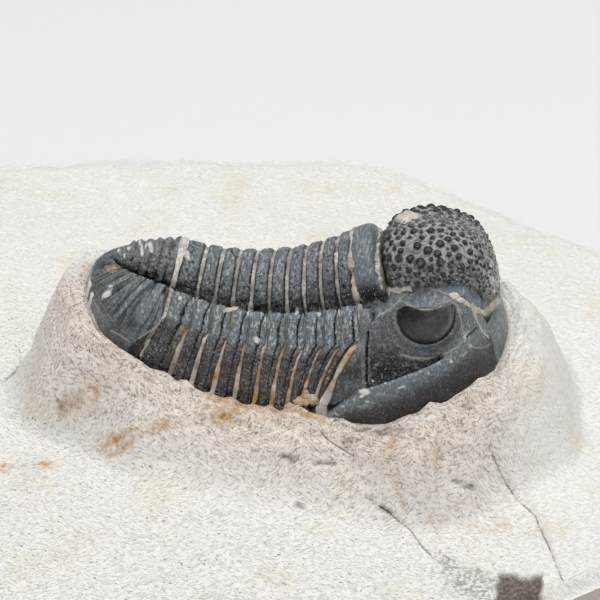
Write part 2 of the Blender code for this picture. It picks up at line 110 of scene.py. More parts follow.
# Outline of the head, and its rolled border
HEAD_LENGTH = 8.5
HEAD_HALF_WIDTH = 7.8
HEAD_FULLNESS = 2.15
GENAL_TIP = (2.45, 7.3)
BORDER_FURROW = ((7.0, 10.5, 12.5), (0.885, 0.91, 0.935))
BORDER_HEIGHT = ((2.45, 3.4, 5.0, 8.0, 12.0, 14.0), (-0.70, 0.35, 1.35, 1.8, 2.0, 1.6))
MARGIN_HEIGHT = ((2.45, 4.0, 8.0, 12.0, 14.0), (-0.7, -0.3, -0.2, 0.45, 0.75))
BORDER_ROLL = 0.5
BORDER_CREST = 0.4
CHEEK_TOP = ((11.0, 14.0), (5.9, 4.85))
CHEEK_BEND = 1.5
POSTERIOR_BORDER = 1.0

# Eyes
EYE_CENTRE = (10.3, 3.5)
EYE_REACH = (2.3, 1.85)
EYE_LOBE = 0.82
EYE_LOBE_ALONG = 0.12
EYE_DROOP = 0.45
EYE_TOP = 6.0
EYE_FOOT = 3.0
EYE_SLOPE_END = 1.20
EYE_FOOT_FALL = 14.0
EYE_FADES_FROM = 0.94

# The facial suture, from the posterior margin round the eye to the anterior margin
SUTURE_S = (3.85, 5.6, 6.2, 7.2, 8.1, 9.2, 10.4, 11.6, 12.3, 12.75, 13.1)
SUTURE_W = (5.6, 4.7, 4.3, 4.02, 4.0, 4.72, 5.0, 4.6, 4.05, 3.75, 3.3)
SUTURE_END_TURN = radians(64.5)
# A closed seam on the animal, so only a hair's gap shows there
SUTURE_GAP = 0.06

# How far down the plates reach, and their clearance to the rock
FLOOR_HEIGHT = ((-15.0, -12.4, -9.6, 1.0, 5.4), (0.9, 0.1, -0.4, -0.45, -0.75))
BED_GAP = 0.3

# The block of limestone
BLOCK_LENGTH = 64.0
BLOCK_WIDTH = 57.0
BLOCK_SQUARENESS_REAR = 8.3
BLOCK_SQUARENESS_FRONT = 1.82
SQUARENESS_CHANGE = (-0.82, -0.34)
OUTLINE_DENTS = ((0.057, 3, 2.2), (0.006, 7, 4.3))
SIDE_RINGS = ((1.0, 0.992), (0.88, 1.0), (0.45, 0.985), (0.0, 0.95))
EDGE_ROUNDING = 0.9
EDGE_ROUNDING_FROM = 0.93
GROUND_HEIGHT = 14.4
GROUND_SWELL = 0.35
GROUND_RIPPLE = 0.25
PEDESTAL_SHELF = 0.7
PEDESTAL_FLANK = 5.3

# Cells of the fine grids, across and along
SEGMENT_CELLS = (400, 24)
PYGIDIUM_CELLS = (300, 150)
CRANIDIUM_CELLS = (320, 240)
CHEEK_CELLS = (160, 210)
STRIP_CELLS = (300, 6)
STRIP_REACH = 0.995
STRIP_REACH_AT_HEAD = 1.12
TOP_CELLS = 280
SIDE_CELLS = 16
RING_STOPS = (0.0, 0.04, 0.08, 0.12, 0.52, 1.0)

# Passes that soften grids, then distances in millimetres, the last one in pixels
SPREAD_SOFTENING = 60
HOLLOW_PASSES = 4
EYE_SOFTENING = 16
WELD = 0.003
STRIP_DEPTH = 0.75
CRACK_REACH = 8.0
SHARP_EDGE = radians(60)
PALE_JOINTS_FROM = 8

# The camera that took the photograph, fitted to it, in millimetres
CAMERA_LENS = 100.0
CAMERA_SENSOR = 36.0
CAMERA_MM = np.array([8.3646, -93.5981, 84.7386])
CAMERA_ELEVATION = radians(35)
CAMERA_AZIMUTH = radians(6)
CAMERA_RIGHT = np.array([cos(CAMERA_AZIMUTH), sin(CAMERA_AZIMUTH), 0.0])
CAMERA_FORWARD = np.array([-sin(CAMERA_AZIMUTH) * cos(CAMERA_ELEVATION),
                           cos(CAMERA_AZIMUTH) * cos(CAMERA_ELEVATION), -sin(CAMERA_ELEVATION)])
CAMERA_UP = np.cross(CAMERA_RIGHT, CAMERA_FORWARD)
PHOTO_SIZE = 600
PHOTO_FOCUS = PHOTO_SIZE * CAMERA_LENS / CAMERA_SENSOR
WORLD_STRENGTH = 0.32
SOFTBOX_POWER = 3.3
SOFTBOX_SIZE = 0.8
SOFTBOX_AT = (0.02, -0.04, 0.55)
SOFTBOX_AIM = (0, 0, 0.01)

# Marks, at their places in the photograph in pixels. Spots are x, y, half length, half width
# and turn in degrees; lines are runs of x and y. Further down, numbers that go with x and y are
# pixels too; the others in the relief and the masks are millimetres, shares from 0 to 1, or seeds.
EYE_IN_PHOTO = (426.0, 314.0, 28.0, 28.5)
EYE_BULGE = 0.42
THORAX_CHIPS = ((231, 310, 6, 2.5, 0), (180, 298, 1.8, 1.5, 0), (319, 313, 1.5, 3, 0),
                (249, 312, 2, 3, 0), (297, 311, 1.5, 3, 0), (340, 312, 1.5, 4, 0), (257, 340, 2, 3, 20))
THORAX_WORN = ((206, 322, 26, 22, -30), (245, 335, 16, 14, 0), (255, 316, 20, 10, 0), (262, 345, 14, 8, 0))
THORAX_OCHRE = ((182, 330, 3.5, 4, 0), (231, 318, 2.2, 6, 0), (175, 348, 1.5, 6, 20), (262, 352, 3, 3, 0))
SHELL_CRACKS = (((222, 338), (238, 352), (250, 355), (267, 366), (274, 380), (283, 393), (293, 404)),
                ((228, 246), (238, 262), (243, 280), (252, 292)))
TAIL_CHIPS = ((146, 246, 1.5, 4.5, 0), (151, 247, 2, 4.5, 10), (142, 251, 1.5, 6, 0),
              (140, 243, 1.3, 3, 0), (128, 247, 2, 2, 0), (118, 250, 2, 2.5, 0), (124, 255, 1.5, 3, 0),
              (107, 295, 7, 2.2, 42), (111, 287, 2, 1, 40), (88, 284, 2.5, 4, 0), (91, 296, 2, 3.5, -20),
              (87, 276, 1.5, 2.5, 0))
TAIL_OCHRE = ((112, 269, 5.5, 4, -20),)
TAIL_LINES = (((111, 330.5), (118, 334), (129, 341)), ((175, 311), (158, 325), (139, 338)))
LOBE_LINES = (((372, 324), (377, 316), (389, 310), (400, 300), (408, 304), (416, 308), (424, 309.5),
               (432, 309), (441, 306), (450, 301), (457, 305), (461.5, 313)),
              ((400, 298), (408, 292), (416, 289.5), (428, 288.5), (440, 290), (449, 294.5), (457, 301)),
              ((358, 297), (364, 302), (372, 305.5)))
POSTERIOR_FURROW = (((368, 332), (366.8, 345), (366, 360), (366, 381)),)
ROCK_FILLS = (((382, 230), (380, 242), (378, 253), (378.5, 262), (378, 270), (382, 281), (388, 292)),
              ((451, 295), (458, 298), (465, 302.5), (471, 306), (477, 310), (484, 313),
               (491, 308), (497, 301)),
              ((390, 290), (400, 290), (409, 288)))
FRONT_FILLS = (((497, 298), (498, 286), (496, 272), (491, 262)), ((493, 300), (494, 286), (492, 276)))
FRONT_SUTURE = (((477.4, 320), (481, 328.5), (487, 335.5), (493, 341), (497.3, 346.3)),)
# A painted highlight along the crest of the posterior border
POSTERIOR_HIGHLIGHT = (((369, 334), (362, 343), (357, 353), (352, 364)),)
BIG_KNOBS = ((420.5, 263.5, 10.5), (440, 262.5, 8), (410, 259, 8), (428, 250, 9), (437.5, 253.5, 7.5),
             (417.5, 246, 8), (403, 243.5, 7), (400, 258.5, 8), (415, 231, 8), (392, 243, 6.5),
             (401.5, 251, 6.5), (387.5, 250, 5), (389.5, 238, 6.5), (410.5, 238, 5.5), (421.5, 238, 5.5),
             (403.5, 233, 5.5), (440, 244, 8), (433.5, 238, 5.5), (449, 254.5, 5.5), (470, 252, 7),
             (475, 246, 6.4), (461.5, 266.5, 6.5), (429.5, 268.5, 7))
CHEEK_LINES = (((401.6, 354.3), (412, 357.5), (425.6, 358.3), (441.5, 355.9), (459, 346.3), (465.4, 338.3),
                (461.5, 325.6), (457.5, 305)),
               ((468.6, 344.7), (475, 347.6), (481.4, 348), (491, 344.7)))
HEAD_GROOVES = (((465, 339), (472, 333), (478, 327)),)
HEAD_CHIPS = ((365, 392, 5, 3, -10), (362, 396, 3, 1.5, 30), (373, 381, 1.5, 1.5, 0), (385, 383, 1.2, 1, 0))
# Lumps of rock: x and y, length, width and height in millimetres, and how brown they are
ROCK_REMAINS = ((404, 209, 0.75, 0.6, 0.24, 0.2), (412, 208, 0.5, 0.5, 0.2, 0.2),
                (398, 212, 0.4, 0.3, 0.16, 0.2), (228, 310, 0.28, 0.16, 0.12, 0.2),
                (234, 309, 0.30, 0.14, 0.12, 0.2), (187, 256, 0.2, 0.42, 0.12, 0.2),
                (302, 402, 0.5, 0.3, 0.14, 0.8), (313, 400, 0.35, 0.35, 0.14, 0.9),
                (291, 405, 0.4, 0.22, 0.12, 0.6), (306, 394, 0.3, 0.3, 0.1, 0.9))
ROCK_CRACKS = (((490, 448), (498, 465), (505, 480), (518, 498), (535, 515), (543, 535), (550, 550),
                (556, 566), (562, 580)),
               ((318, 428), (328, 440), (340, 448), (352, 456)),
               ((370, 500), (380, 507), (388, 512), (400, 522), (410, 530), (422, 545), (440, 560)),
               ((0, 382), (12, 372), (20, 360), (27, 345)))
ROCK_PITS = (((282, 455), (290, 459), (294, 462)), ((296, 503), (302, 506)), ((316, 463), (334, 463)),
             ((465, 487), (474, 486), (472, 490)), ((379, 507), (392, 514)), ((455, 481), (458, 482)),
             ((465, 408), (463, 404)), ((378, 431), (386, 434)), ((356, 430), (364, 428)))
ROCK_OCHRE = ((124, 437, 22, 9, 25), (80, 400, 25, 12, 30), (390, 452, 5, 16, -15),
              (437, 465, 5, 20, 0), (495, 520, 35, 10, 20), (235, 418, 26, 7, 0), (160, 426, 18, 6, 20),
              (452, 512, 35, 14, 20), (548, 530, 18, 8, 0))
OCHRE_STREAKS = (((164, 426), (140, 436), (125, 448), (108, 456)), ((0, 470), (25, 468), (53, 464)),
                 ((383, 449), (390, 468), (397, 490), (406, 506)),
                 ((200, 405), (230, 408), (262, 404), (300, 410)), ((437, 450), (437, 490)))
ROCK_BROWN = ((118, 375, 9, 6, -30), (150, 378, 8, 4, 0), (68, 400, 12, 8, 30), (390, 430, 18, 5, 12),
              (374, 432, 6, 3, 0), (345, 440, 10, 3, 10), (290, 457, 9, 4, -20), (305, 400, 14, 5, 0),
              (468, 406, 5, 4, 0))
GREY_ROCK = ((475, 585, 32, 16, -15), (452, 565, 16, 8, -40))
# Left, top and right edge
BROKEN_ROCK = (500, 577, 541)


# Small helpers

def unit(value):
    return np.clip(value, 0, 1)


def most(*fields):
    """The largest of the values, point by point."""
    largest = fields[0]
    for field in fields[1:]:
        largest = np.maximum(largest, field)
    return largest


def mix(start, end, share):
    return start + (end - start) * share


def flat_points(x, y):
    return np.stack([x, y, 0 * x], axis=-1)


def thorax_share(s):
    """0 at the thorax's rear end, 1 at its front end."""
    return unit((s - S_TAIL) / (S_HEAD - S_TAIL))


def along_thorax(s, triple):
    """A parabola through the values at the thorax's rear end, middle and front end."""
    q = thorax_share(s)
    rear, middle, front = triple
    return rear * (1 - q) * (1 - 2 * q) + middle * 4 * q * (1 - q) + front * q * (2 * q - 1)


def ramp(low, high, value):
    q = unit((value - low) / (high - low))
    return q * q * (3 - 2 * q)


def bump(value, centre, width):
    return np.exp(-((value - centre) / width) ** 2)


def round_off(q):
    """From 1 at q = 0 down to 0 at q = 1, as a quarter of a circle."""
    return np.sqrt(unit(1 - unit(q) ** 2))


def lattice(cell, seed):
    """A repeatable random number from 0 to 1 for each whole-numbered point."""
    mixed = cell[..., 0] * 73856093 ^ cell[..., 1] * 19349663 ^ cell[..., 2] * 83492791 ^ seed * 40503
    mixed = (mixed & 0xFFFFFFFF) * 1274126177 & 0xFFFFFFFF
    mixed = (mixed ^ (mixed >> 15)) * 668265263 & 0xFFFFFFFF
    return ((mixed ^ (mixed >> 16)) & 0xFFFF) / 65535


def noise(points, size, seed):
    """Smooth noise from -1 to 1 whose lumps are about size millimetres across; seed picks the pattern."""
    scaled = points / size
    cell = np.floor(scaled).astype(np.int64)
    part = scaled - cell
    part = part * part * (3 - 2 * part)
    total = 0
    for corner in np.ndindex(2, 2, 2):
        weight = np.prod(np.where(np.array(corner) == 1, part, 1 - part), axis=-1)
        total = total + weight * lattice(cell + np.array(corner), seed)
    return 2 * total - 1


def rough(points, size, seed, octaves=3):
    """Noise with finer and fainter noise on top of it."""
    return sum(noise(points, size / 2 ** step, seed + step) / 2 ** step for step in range(octaves))


# The body frame

CURVE_S = np.linspace(-18, 18, 721)
CURVE_PITCH = np.interp(CURVE_S, [S_TAIL, S_HEAD], [TAIL_PITCH, HEAD_PITCH])
CURVE_LEAN = np.interp(CURVE_S, [S_TAIL, S_HEAD], [-LEAN, LEAN])


def run_of_curve(rate):
    steps = (rate[1:] + rate[:-1]) / 2 * np.diff(CURVE_S)
    return np.concatenate([[0], np.cumsum(steps)])


CURVE_X = run_of_curve(np.cos(CURVE_PITCH))
CURVE_X = CURVE_X - np.interp(0, CURVE_S, CURVE_X)
CURVE_Z = run_of_curve(np.sin(CURVE_PITCH))
CURVE_Z = CURVE_Z - CURVE_Z.min()


def place(s, y, h):
    """World positions in millimetres of points in body coordinates."""
    s, y, h = np.broadcast_arrays(s, y, h)
    lean = np.interp(s, CURVE_S, CURVE_LEAN)
    x = np.interp(s, CURVE_S, CURVE_X) - h * np.sin(lean)
    z = np.interp(s, CURVE_S, CURVE_Z) + h * np.cos(lean)
    return np.stack([x, y, z], axis=-1) + np.array(BODY_AT)


def floor_height(s):
    return np.interp(s, *FLOOR_HEIGHT)


# Thorax

def sweep_back(s):
    q = thorax_share(s)
    at_head = unit((q - SWEEP_HEAD_FROM) / (1 - SWEEP_HEAD_FROM)) ** 1.5
    return SWEEP_EVERYWHERE + SWEEP_TAIL * (1 - q) ** 4 + SWEEP_HEAD * at_head


def swept(s, w):
    """Where a transverse line that leaves the middle plane at s has got to at w."""
    fulcrum = along_thorax(s, FULCRUM_OUT)
    reach = along_thorax(s, TIP_OUT) - fulcrum
    return s - sweep_back(s) * unit((w - fulcrum) / reach)


def thorax_profile(s, w):
    """Height of the plain cross-section: arched axis, flat inner pleura, steep outer pleura."""
    half = along_thorax(s, AXIS_HALF_WIDTH)
    furrow = along_thorax(s, AXIS_FURROW_HEIGHT)
    fulcrum = along_thorax(s, FULCRUM_OUT)
    shoulder = along_thorax(s, FULCRUM_HEIGHT)
    tip = along_thorax(s, TIP_OUT)
    axis = furrow + along_thorax(s, AXIS_RISE) * round_off(w / half)
    inner = unit((w - half) / (fulcrum - half))
    flat = mix(furrow, shoulder, inner ** INNER_BEND) + INNER_ARCH * np.sin(pi * inner)
    outer = unit((w - fulcrum) / (tip - fulcrum))
    steep = mix(TIP_HEIGHT, shoulder, 1 - outer ** OUTER_BEND)
    return np.where(w < half, axis, np.where(w < fulcrum, flat, steep))


def seam(s, w):
    """Width of the joint between two plates: open over the axis, close on the inner pleura."""
    on_ring = ramp(0.2, -0.3, w - along_thorax(s, AXIS_HALF_WIDTH))
    outer = ramp(0.0, 1.0, w - along_thorax(s, FULCRUM_OUT))
    return JOINT_GAP * (SEAM_SHARE + (1 - SEAM_SHARE) * most(on_ring, 0.35 * outer))


# Tail shield

def pygidium_margin(turn):
    """A point of the margin, from the front corner at turn 0 to the rear tip at a quarter."""
    corner = S_TAIL - HALF_GAP - sweep_back(S_TAIL)
    s = corner - (PYGIDIUM_LENGTH - S_TAIL + corner) * np.sin(turn)
    return s, TIP_OUT[0] * np.cos(turn), mix(*PYGIDIUM_MARGIN_HEIGHT, np.sin(turn))


def pygidium_point(u, v):
    """A point at u along the axis, from the front, and v from the middle to the margin."""
    axis_s = S_TAIL - HALF_GAP - PYGIDIUM_AXIS_LENGTH * u
    half = AXIS_HALF_WIDTH[0] * (1 - PYGIDIUM_AXIS_TAPER * u) * round_off(u ** 4)
    crest = AXIS_RISE[0] * (1 - PYGIDIUM_CREST_DROP * u) * round_off(u ** 5)
    furrow = AXIS_FURROW_HEIGHT[0] - PYGIDIUM_FURROW_DROP * u
    across = 0.5 * pi * unit(v / AXIS_SHARE)
    out = unit((v - AXIS_SHARE) / (1 - AXIS_SHARE))
    margin_s, margin_w, margin_h = pygidium_margin(0.5 * pi * u)
    field_w = mix(half, margin_w, out)
    rib_s = mix(axis_s, margin_s, out ** RIB_BEND)
    front_s = swept(S_TAIL, field_w) - HALF_GAP
    field_s = mix(rib_s, front_s, 1 - ramp(0, PYGIDIUM_FRONT_SHARE, u))
    field_h = mix(margin_h, furrow, 1 - out ** 2)
    on_axis = v <= AXIS_SHARE
    s = np.where(on_axis, axis_s, field_s)
    w = np.where(on_axis, half * np.sin(across), field_w)
    return s, w, np.where(on_axis, furrow + crest * np.cos(across), field_h)


# Head

def glabella_distance(s, w):
    """1 on the furrow round the glabella, 0 at its middle."""
    reach = np.where(s > GLABELLA_MIDDLE, GLABELLA_FRONT, GLABELLA_REAR)
    along = np.abs(s - GLABELLA_MIDDLE) / reach
    power = GLABELLA_SQUARENESS
    return (along ** power + (w / GLABELLA_HALF_WIDTH) ** power) ** (1 / power)


def fullness(s, w):
    """1 at the glabella's middle, 0 on the furrow round it, as round as its dome."""
    return unit(1 - glabella_distance(s, w) ** GLABELLA_FULLNESS) ** (1 / GLABELLA_FULLNESS)


def rear_margin_out(s):
    """Distance of the head's margin from the middle plane, behind its widest place."""
    behind = unit((S_HEAD - s) / (S_HEAD - GENAL_TIP[0]))
    return HEAD_HALF_WIDTH - (HEAD_HALF_WIDTH - GENAL_TIP[1]) * behind ** 2


def margin_distance(s, w):
    """1 on the head's margin, less inside it."""
    power = HEAD_FULLNESS
    forward = np.clip((s - S_HEAD) / HEAD_LENGTH, 0, None) ** power
    ahead = (forward + (w / HEAD_HALF_WIDTH) ** power) ** (1 / power)
    return np.where(s > S_HEAD, ahead, w / rear_margin_out(s))


def cheek_height(s, w):
    """Cheek from the glabella down to the border furrow, then the rolled border."""
    outside_glabella = np.clip(glabella_distance(s, w) - 1, 0, None) * GLABELLA_HALF_WIDTH
    m = margin_distance(s, w)
    furrow = np.interp(s, *BORDER_FURROW)
    border = np.interp(s, *BORDER_HEIGHT)
    margin = np.interp(s, *MARGIN_HEIGHT)
    inside_furrow = np.clip(furrow - m, 0, None) * HEAD_HALF_WIDTH
    u = outside_glabella / (outside_glabella + inside_furrow + 1e-6)
    slope = mix(border, np.interp(s, *CHEEK_TOP), 1 - u ** CHEEK_BEND)
    q = unit((m - furrow) / (1 - furrow))
    roll = border + BORDER_ROLL * np.sin(0.5 * pi * unit(q / BORDER_CREST))
    fall = round_off(unit((q - BORDER_CREST) / (1 - BORDER_CREST)))
    return np.where(m < furrow, slope, mix(margin, roll, fall))


def eye_distance(s, w):
    """Distance from the eye's middle, 1 on its foot, and how far along the body it points."""
    ds = (s - EYE_CENTRE[0]) / EYE_REACH[0]
    dw = (w - EYE_CENTRE[1]) / EYE_REACH[1]
    e = np.sqrt(ds ** 2 + dw ** 2)
    return e, unit(np.abs(ds) / (e + 1e-6))


def eye_height(s, w):
    """The lobe over the eye, then the steep visual surface down to its foot."""
    e, along = eye_distance(s, w)
    lobe = EYE_LOBE + EYE_LOBE_ALONG * along ** 2
    top = EYE_TOP - EYE_DROOP * unit(e / lobe) ** 2
    fall = 1 - unit((e - lobe) / (EYE_SLOPE_END - lobe))
    return mix(EYE_FOOT, top, fall) - EYE_FOOT_FALL * np.clip(e - EYE_SLOPE_END, 0, None)


def head_height(s, w):
    """Height of the plain head: cheeks and eyes, glabella and occipital ring."""
    cheek = cheek_height(s, w)
    over_cheek = np.clip(eye_height(s, w) - cheek, 0, None)
    shell = cheek + over_cheek * ramp(1.0, EYE_FADES_FROM, margin_distance(s, w))
    crest = GLABELLA_CREST - GLABELLA_SLOPE * (s - GLABELLA_MIDDLE)
    dome = mix(np.interp(s, *GLABELLA_FOOT), crest, fullness(s, w))
    shell = np.where(glabella_distance(s, w) < 1, dome, shell)
    across = w / OCCIPITAL_HALF_WIDTH
    t = unit((s - S_HEAD) / OCCIPITAL_LENGTH)
    ring = mix(OCCIPITAL_FOOT, OCCIPITAL_CREST, round_off(across)) - 0.3 * np.abs(2 * t - 1) ** 3
    shell = np.where((t < 1) & (across < 1), ring, shell)
    return shell - 0.5 * bump(s, OCCIPITAL_FRONT, 0.25) * ramp(GLABELLA_HALF_WIDTH, 2.8, w)


def suture_out(s):
    return np.interp(s, SUTURE_S, SUTURE_W)


def cranidium_point(a, b):
    """a runs from the rear edge to the front, b from -1 on the right to 1 on the left."""
    s_middle = mix(S_HEAD + HALF_GAP, S_HEAD + HEAD_LENGTH, a)
    edge_s = SUTURE_S[0] + HALF_GAP + (SUTURE_S[-1] - SUTURE_S[0]) * a
    w = (suture_out(edge_s) - SUTURE_GAP / 2) * np.abs(b)
    s = mix(s_middle, edge_s, np.abs(b) ** 2.5)
    return most(s, swept(S_HEAD, w) + HALF_GAP), np.sign(b) * w


def margin_out(s):
    """Distance of the head's margin from the middle plane."""
    forward = unit((s - S_HEAD) / HEAD_LENGTH) ** HEAD_FULLNESS
    ahead = HEAD_HALF_WIDTH * (1 - forward) ** (1 / HEAD_FULLNESS)
    return np.where(s > S_HEAD, ahead, rear_margin_out(s))


def head_outline(turn):
    """A point of the head's margin, from its widest place at turn 0 to its front."""
    power = 2 / HEAD_FULLNESS
    return S_HEAD + HEAD_LENGTH * np.sin(turn) ** power, HEAD_HALF_WIDTH * np.cos(turn) ** power


def cheek_point(a, b):
    """a runs from the posterior margin to the front end, b from the suture to the margin."""
    inner_s = mix(SUTURE_S[0], SUTURE_S[-1], a)
    inner_w = suture_out(inner_s) + SUTURE_GAP / 2
    outer_s, _ = head_outline(SUTURE_END_TURN * a)
    outer_s = mix(outer_s, GENAL_TIP[0], ramp(0.7, 1.0, 1 - a))
    w = mix(inner_w, margin_out(outer_s), b)
    rear_w = mix(SUTURE_W[0], GENAL_TIP[1], b)
    straight = mix(SUTURE_S[0], GENAL_TIP[0], b)
    bent = straight - most(swept(S_HEAD, rear_w) + HALF_GAP, GENAL_TIP[0])
    s = mix(inner_s, outer_s, b) - bent * ramp(0.25, 0.0, a)
    return most(s, swept(S_HEAD, w) + HALF_GAP), w


# Fine grids

def softened(values, passes, axis=None):
    """Each value drawn towards its neighbours in the grid; the rim stays."""
    for _ in range(passes):
        for along in ((0, 1) if axis is None else (axis,)):
            moved = np.moveaxis(values, along, 0)
            middle = (moved[:-2] + 2 * moved[1:-1] + moved[2:]) / 4
            moved = np.concatenate([moved[:1], middle, moved[-1:]])
            values = np.moveaxis(moved, 0, along)
    return values


def spread(parameters, surface, count, axis):
    """Moves the samples along one axis so that they lie evenly spaced on the surface."""
    points = surface(*parameters)
    steps = np.linalg.norm(np.diff(points, axis=axis), axis=-1)
    run = np.concatenate([np.zeros_like(np.take(steps, [0], axis)), np.cumsum(steps, axis=axis)], axis)
    run = np.moveaxis(run, axis, -1)
    lines = [np.moveaxis(value, axis, -1) for value in parameters]
    share = np.linspace(0, 1, count + 1)
    moved = []
    for values in lines:
        fresh = [np.interp(share * r[-1], r, v) for r, v in zip(run, values)]
        fresh = softened(np.array(fresh), SPREAD_SOFTENING, 0)
        moved.append(np.moveaxis(fresh, -1, axis))
    return moved


def fine_grid(surface, first, second, cells):
    """Parameters of an evenly spaced grid: rows follow the first one, columns the second."""
    columns, rows = cells
    sampled = np.meshgrid(np.linspace(*first, 2 * rows + 1), np.linspace(*second, 3 * columns + 1),
                          indexing="ij")
    sampled = spread(sampled, surface, columns, 1)
    return spread(sampled, surface, rows, 0)


def normals_of(points):
    """Unit normals of a grid of points, pointing up on the whole."""
    across = np.gradient(points, axis=1)
    along = np.gradient(points, axis=0)
    normal = np.cross(across, along)
    normal /= np.linalg.norm(normal, axis=-1, keepdims=True) + 1e-12
    normal = softened(normal, 2)
    normal /= np.linalg.norm(normal, axis=-1, keepdims=True) + 1e-12
    return normal * np.sign(normal[..., 2].mean())


def hollows(points):
    """Depth in millimetres of each point below its neighbourhood, less than 0 on ridges."""
    return np.sum((softened(points, HOLLOW_PASSES) - points) * normals_of(points), axis=-1)


def raised(points, relief):
    """The points moved by the relief along their normals."""
    return points + normals_of(points) * relief[..., None]


# Places in the photograph

def in_photo(points):
    """Where points show in the photograph, in pixels from its upper left corner."""
    from_camera = points - CAMERA_MM
    scale = PHOTO_FOCUS / (from_camera @ CAMERA_FORWARD)
    x = PHOTO_SIZE / 2 + from_camera @ CAMERA_RIGHT * scale
    return x, PHOTO_SIZE / 2 - from_camera @ CAMERA_UP * scale


def seen_side(points, beyond=0.0):
    """Whether points are on the side that the photograph shows, or a little beyond the middle."""
    return points[..., 1] < BODY_AT[1] + beyond


def near_side(points):
    """The same points brought over to the side of the body that the photograph shows."""
    middle = BODY_AT[1]
    y = middle - np.abs(points[..., 1] - middle)
    return np.stack([points[..., 0], y, points[..., 2]], axis=-1)


def line_offset(where, lines):
    """Distance in pixels from the nearest of the drawn lines, less than 0 to its right."""
    x, y = where
    offset = np.full(np.shape(x), 1e9)
    for line in lines:
        for (x0, y0), (x1, y1) in zip(line[:-1], line[1:]):
            run_x, run_y = x1 - x0, y1 - y0
            share = unit(((x - x0) * run_x + (y - y0) * run_y) / (run_x ** 2 + run_y ** 2))
            away = np.hypot(x - x0 - share * run_x, y - y0 - share * run_y)
            side = run_x * (y - y0) - run_y * (x - x0)
            offset = np.where(away < np.abs(offset), np.copysign(away, side), offset)
    return offset


def drawn(where, lines, width):
    """1 on the drawn lines, fading out over width pixels."""
    return np.exp(-(line_offset(where, lines) / width) ** 2)


def patches(where, spots, edge=0.25, ragged=0.35):
    """1 inside the ellipses (x, y, half length, half width, turn), with ragged edges."""
    x, y = where
    total = np.zeros(np.shape(x))
    waver = ragged * rough(flat_points(x, y), 5.0, 601)
    for middle_x, middle_y, length, width, turn in spots:
        c, n = cos(radians(turn)), sin(radians(turn))
        along = ((x - middle_x) * c - (y - middle_y) * n) / length
        across = ((x - middle_x) * n + (y - middle_y) * c) / width
        total = most(total, ramp(1 + edge, 1 - edge, np.hypot(along, across) + waver))
    return total


# Meshes

def grid_mesh(points):
    """A grid through the points, in which each vertex keeps its place in the grid as its source."""
    rows, columns = points.shape[0] - 1, points.shape[1] - 1
    bm = bmesh.new()
    bmesh.ops.create_grid(bm, x_segments=columns, y_segments=rows, size=1.0)
    source = bm.verts.layers.int.new("source")
    for index, (vert, point) in enumerate(zip(bm.verts, points.reshape(-1, 3) * MM)):
        vert.co = point
        vert[source] = index
    return bm, source


def open_rim(bm):
    return [edge for edge in bm.edges if edge.is_boundary]


def grow_walls(bm, rim):
    """Walls on the open rim: their new points, and the new rim."""
    grown = bmesh.ops.extrude_edge_only(bm, edges=rim)["geom"]
    verts = [item for item in grown if isinstance(item, bmesh.types.BMVert)]
    return verts, [item for item in grown if isinstance(item, bmesh.types.BMEdge) and item.is_boundary]


def plate(name, top, under, masks):
    """A closed plate: a fine grid on top, walls down to the points under its rim, and a floor."""
    bm, source = grid_mesh(top)
    bmesh.ops.remove_doubles(bm, verts=bm.verts[:], dist=WELD * MM)
    verts, rim = grow_walls(bm, open_rim(bm))
    under = under.reshape(-1, 3) * MM
    for vert in verts:
        vert.co = under[vert[source]]
    bmesh.ops.contextual_create(bm, geom=rim)
    return finished(bm, name, masks)


def slab(name, top, under, masks):
    """A closed thin layer between two grids of points."""
    bm, source = grid_mesh(top)
    upper = set(bm.verts)
    bmesh.ops.extrude_face_region(bm, geom=bm.faces[:])
    under = under.reshape(-1, 3) * MM
    for vert in set(bm.verts) - upper:
        vert.co = under[vert[source]]
    return finished(bm, name, masks)


def in_scene(name, data):
    made = bpy.data.objects.new(name, data)
    bpy.context.scene.collection.objects.link(made)
    return made


def finished(bm, name, masks):
    """The bmesh as an object, with each mask stored as a number at every vertex."""
    bmesh.ops.recalc_face_normals(bm, faces=bm.faces[:])
    mesh = bpy.data.meshes.new(name)
    bm.to_mesh(mesh)
    bm.free()
    mesh.shade_smooth()
    mesh.set_sharp_from_angle(angle=SHARP_EDGE)
    source = np.zeros(len(mesh.vertices), np.int32)
    mesh.attributes["source"].data.foreach_get("value", source)
    for key, values in masks.items():
        layer = mesh.attributes.new(key, "FLOAT", "POINT")
        layer.data.foreach_set("value", unit(values).ravel()[source].astype(np.float32))
    mesh.attributes.remove(mesh.attributes["source"])
    return in_scene(name, mesh)


# Thorax segments

def thorax_segment(number):
    """A segment: t runs from its rear edge to its front, v from -1 on the right to 1 on the left."""
    front = S_HEAD - (number - 1) * SEGMENT_PITCH
    rear = S_TAIL if number == SEGMENTS else S_HEAD - number * SEGMENT_PITCH

    def body_point(t, v):
        gap = seam(front, np.abs(v) * along_thorax(front, TIP_OUT))
        middle_s = rear + gap / 2 + (front - rear - gap) * t
        y = v * along_thorax(middle_s, TIP_OUT)
        return swept(middle_s, np.abs(y)), y

    def surface(t, v):
        s, y = body_point(t, v)
        return place(s, y, thorax_profile(s, np.abs(y)))

    t, v = fine_grid(surface, (0, 1), (1, -1), SEGMENT_CELLS)
    t = 0.5 - 0.5 * np.cos(pi * t)
    s, y = body_point(t, v)
    w = np.abs(y)
    base = place(s, y, thorax_profile(s, w))
    relief, fields = segment_relief(number, base, t, s, w)
    top = raised(base, relief)
    masks = segment_look(number, base, hollows(top), t, y, **fields)
    return plate(f"thorax_segment_{number:02d}_shell", top, place(s, y, floor_height(s)), masks)


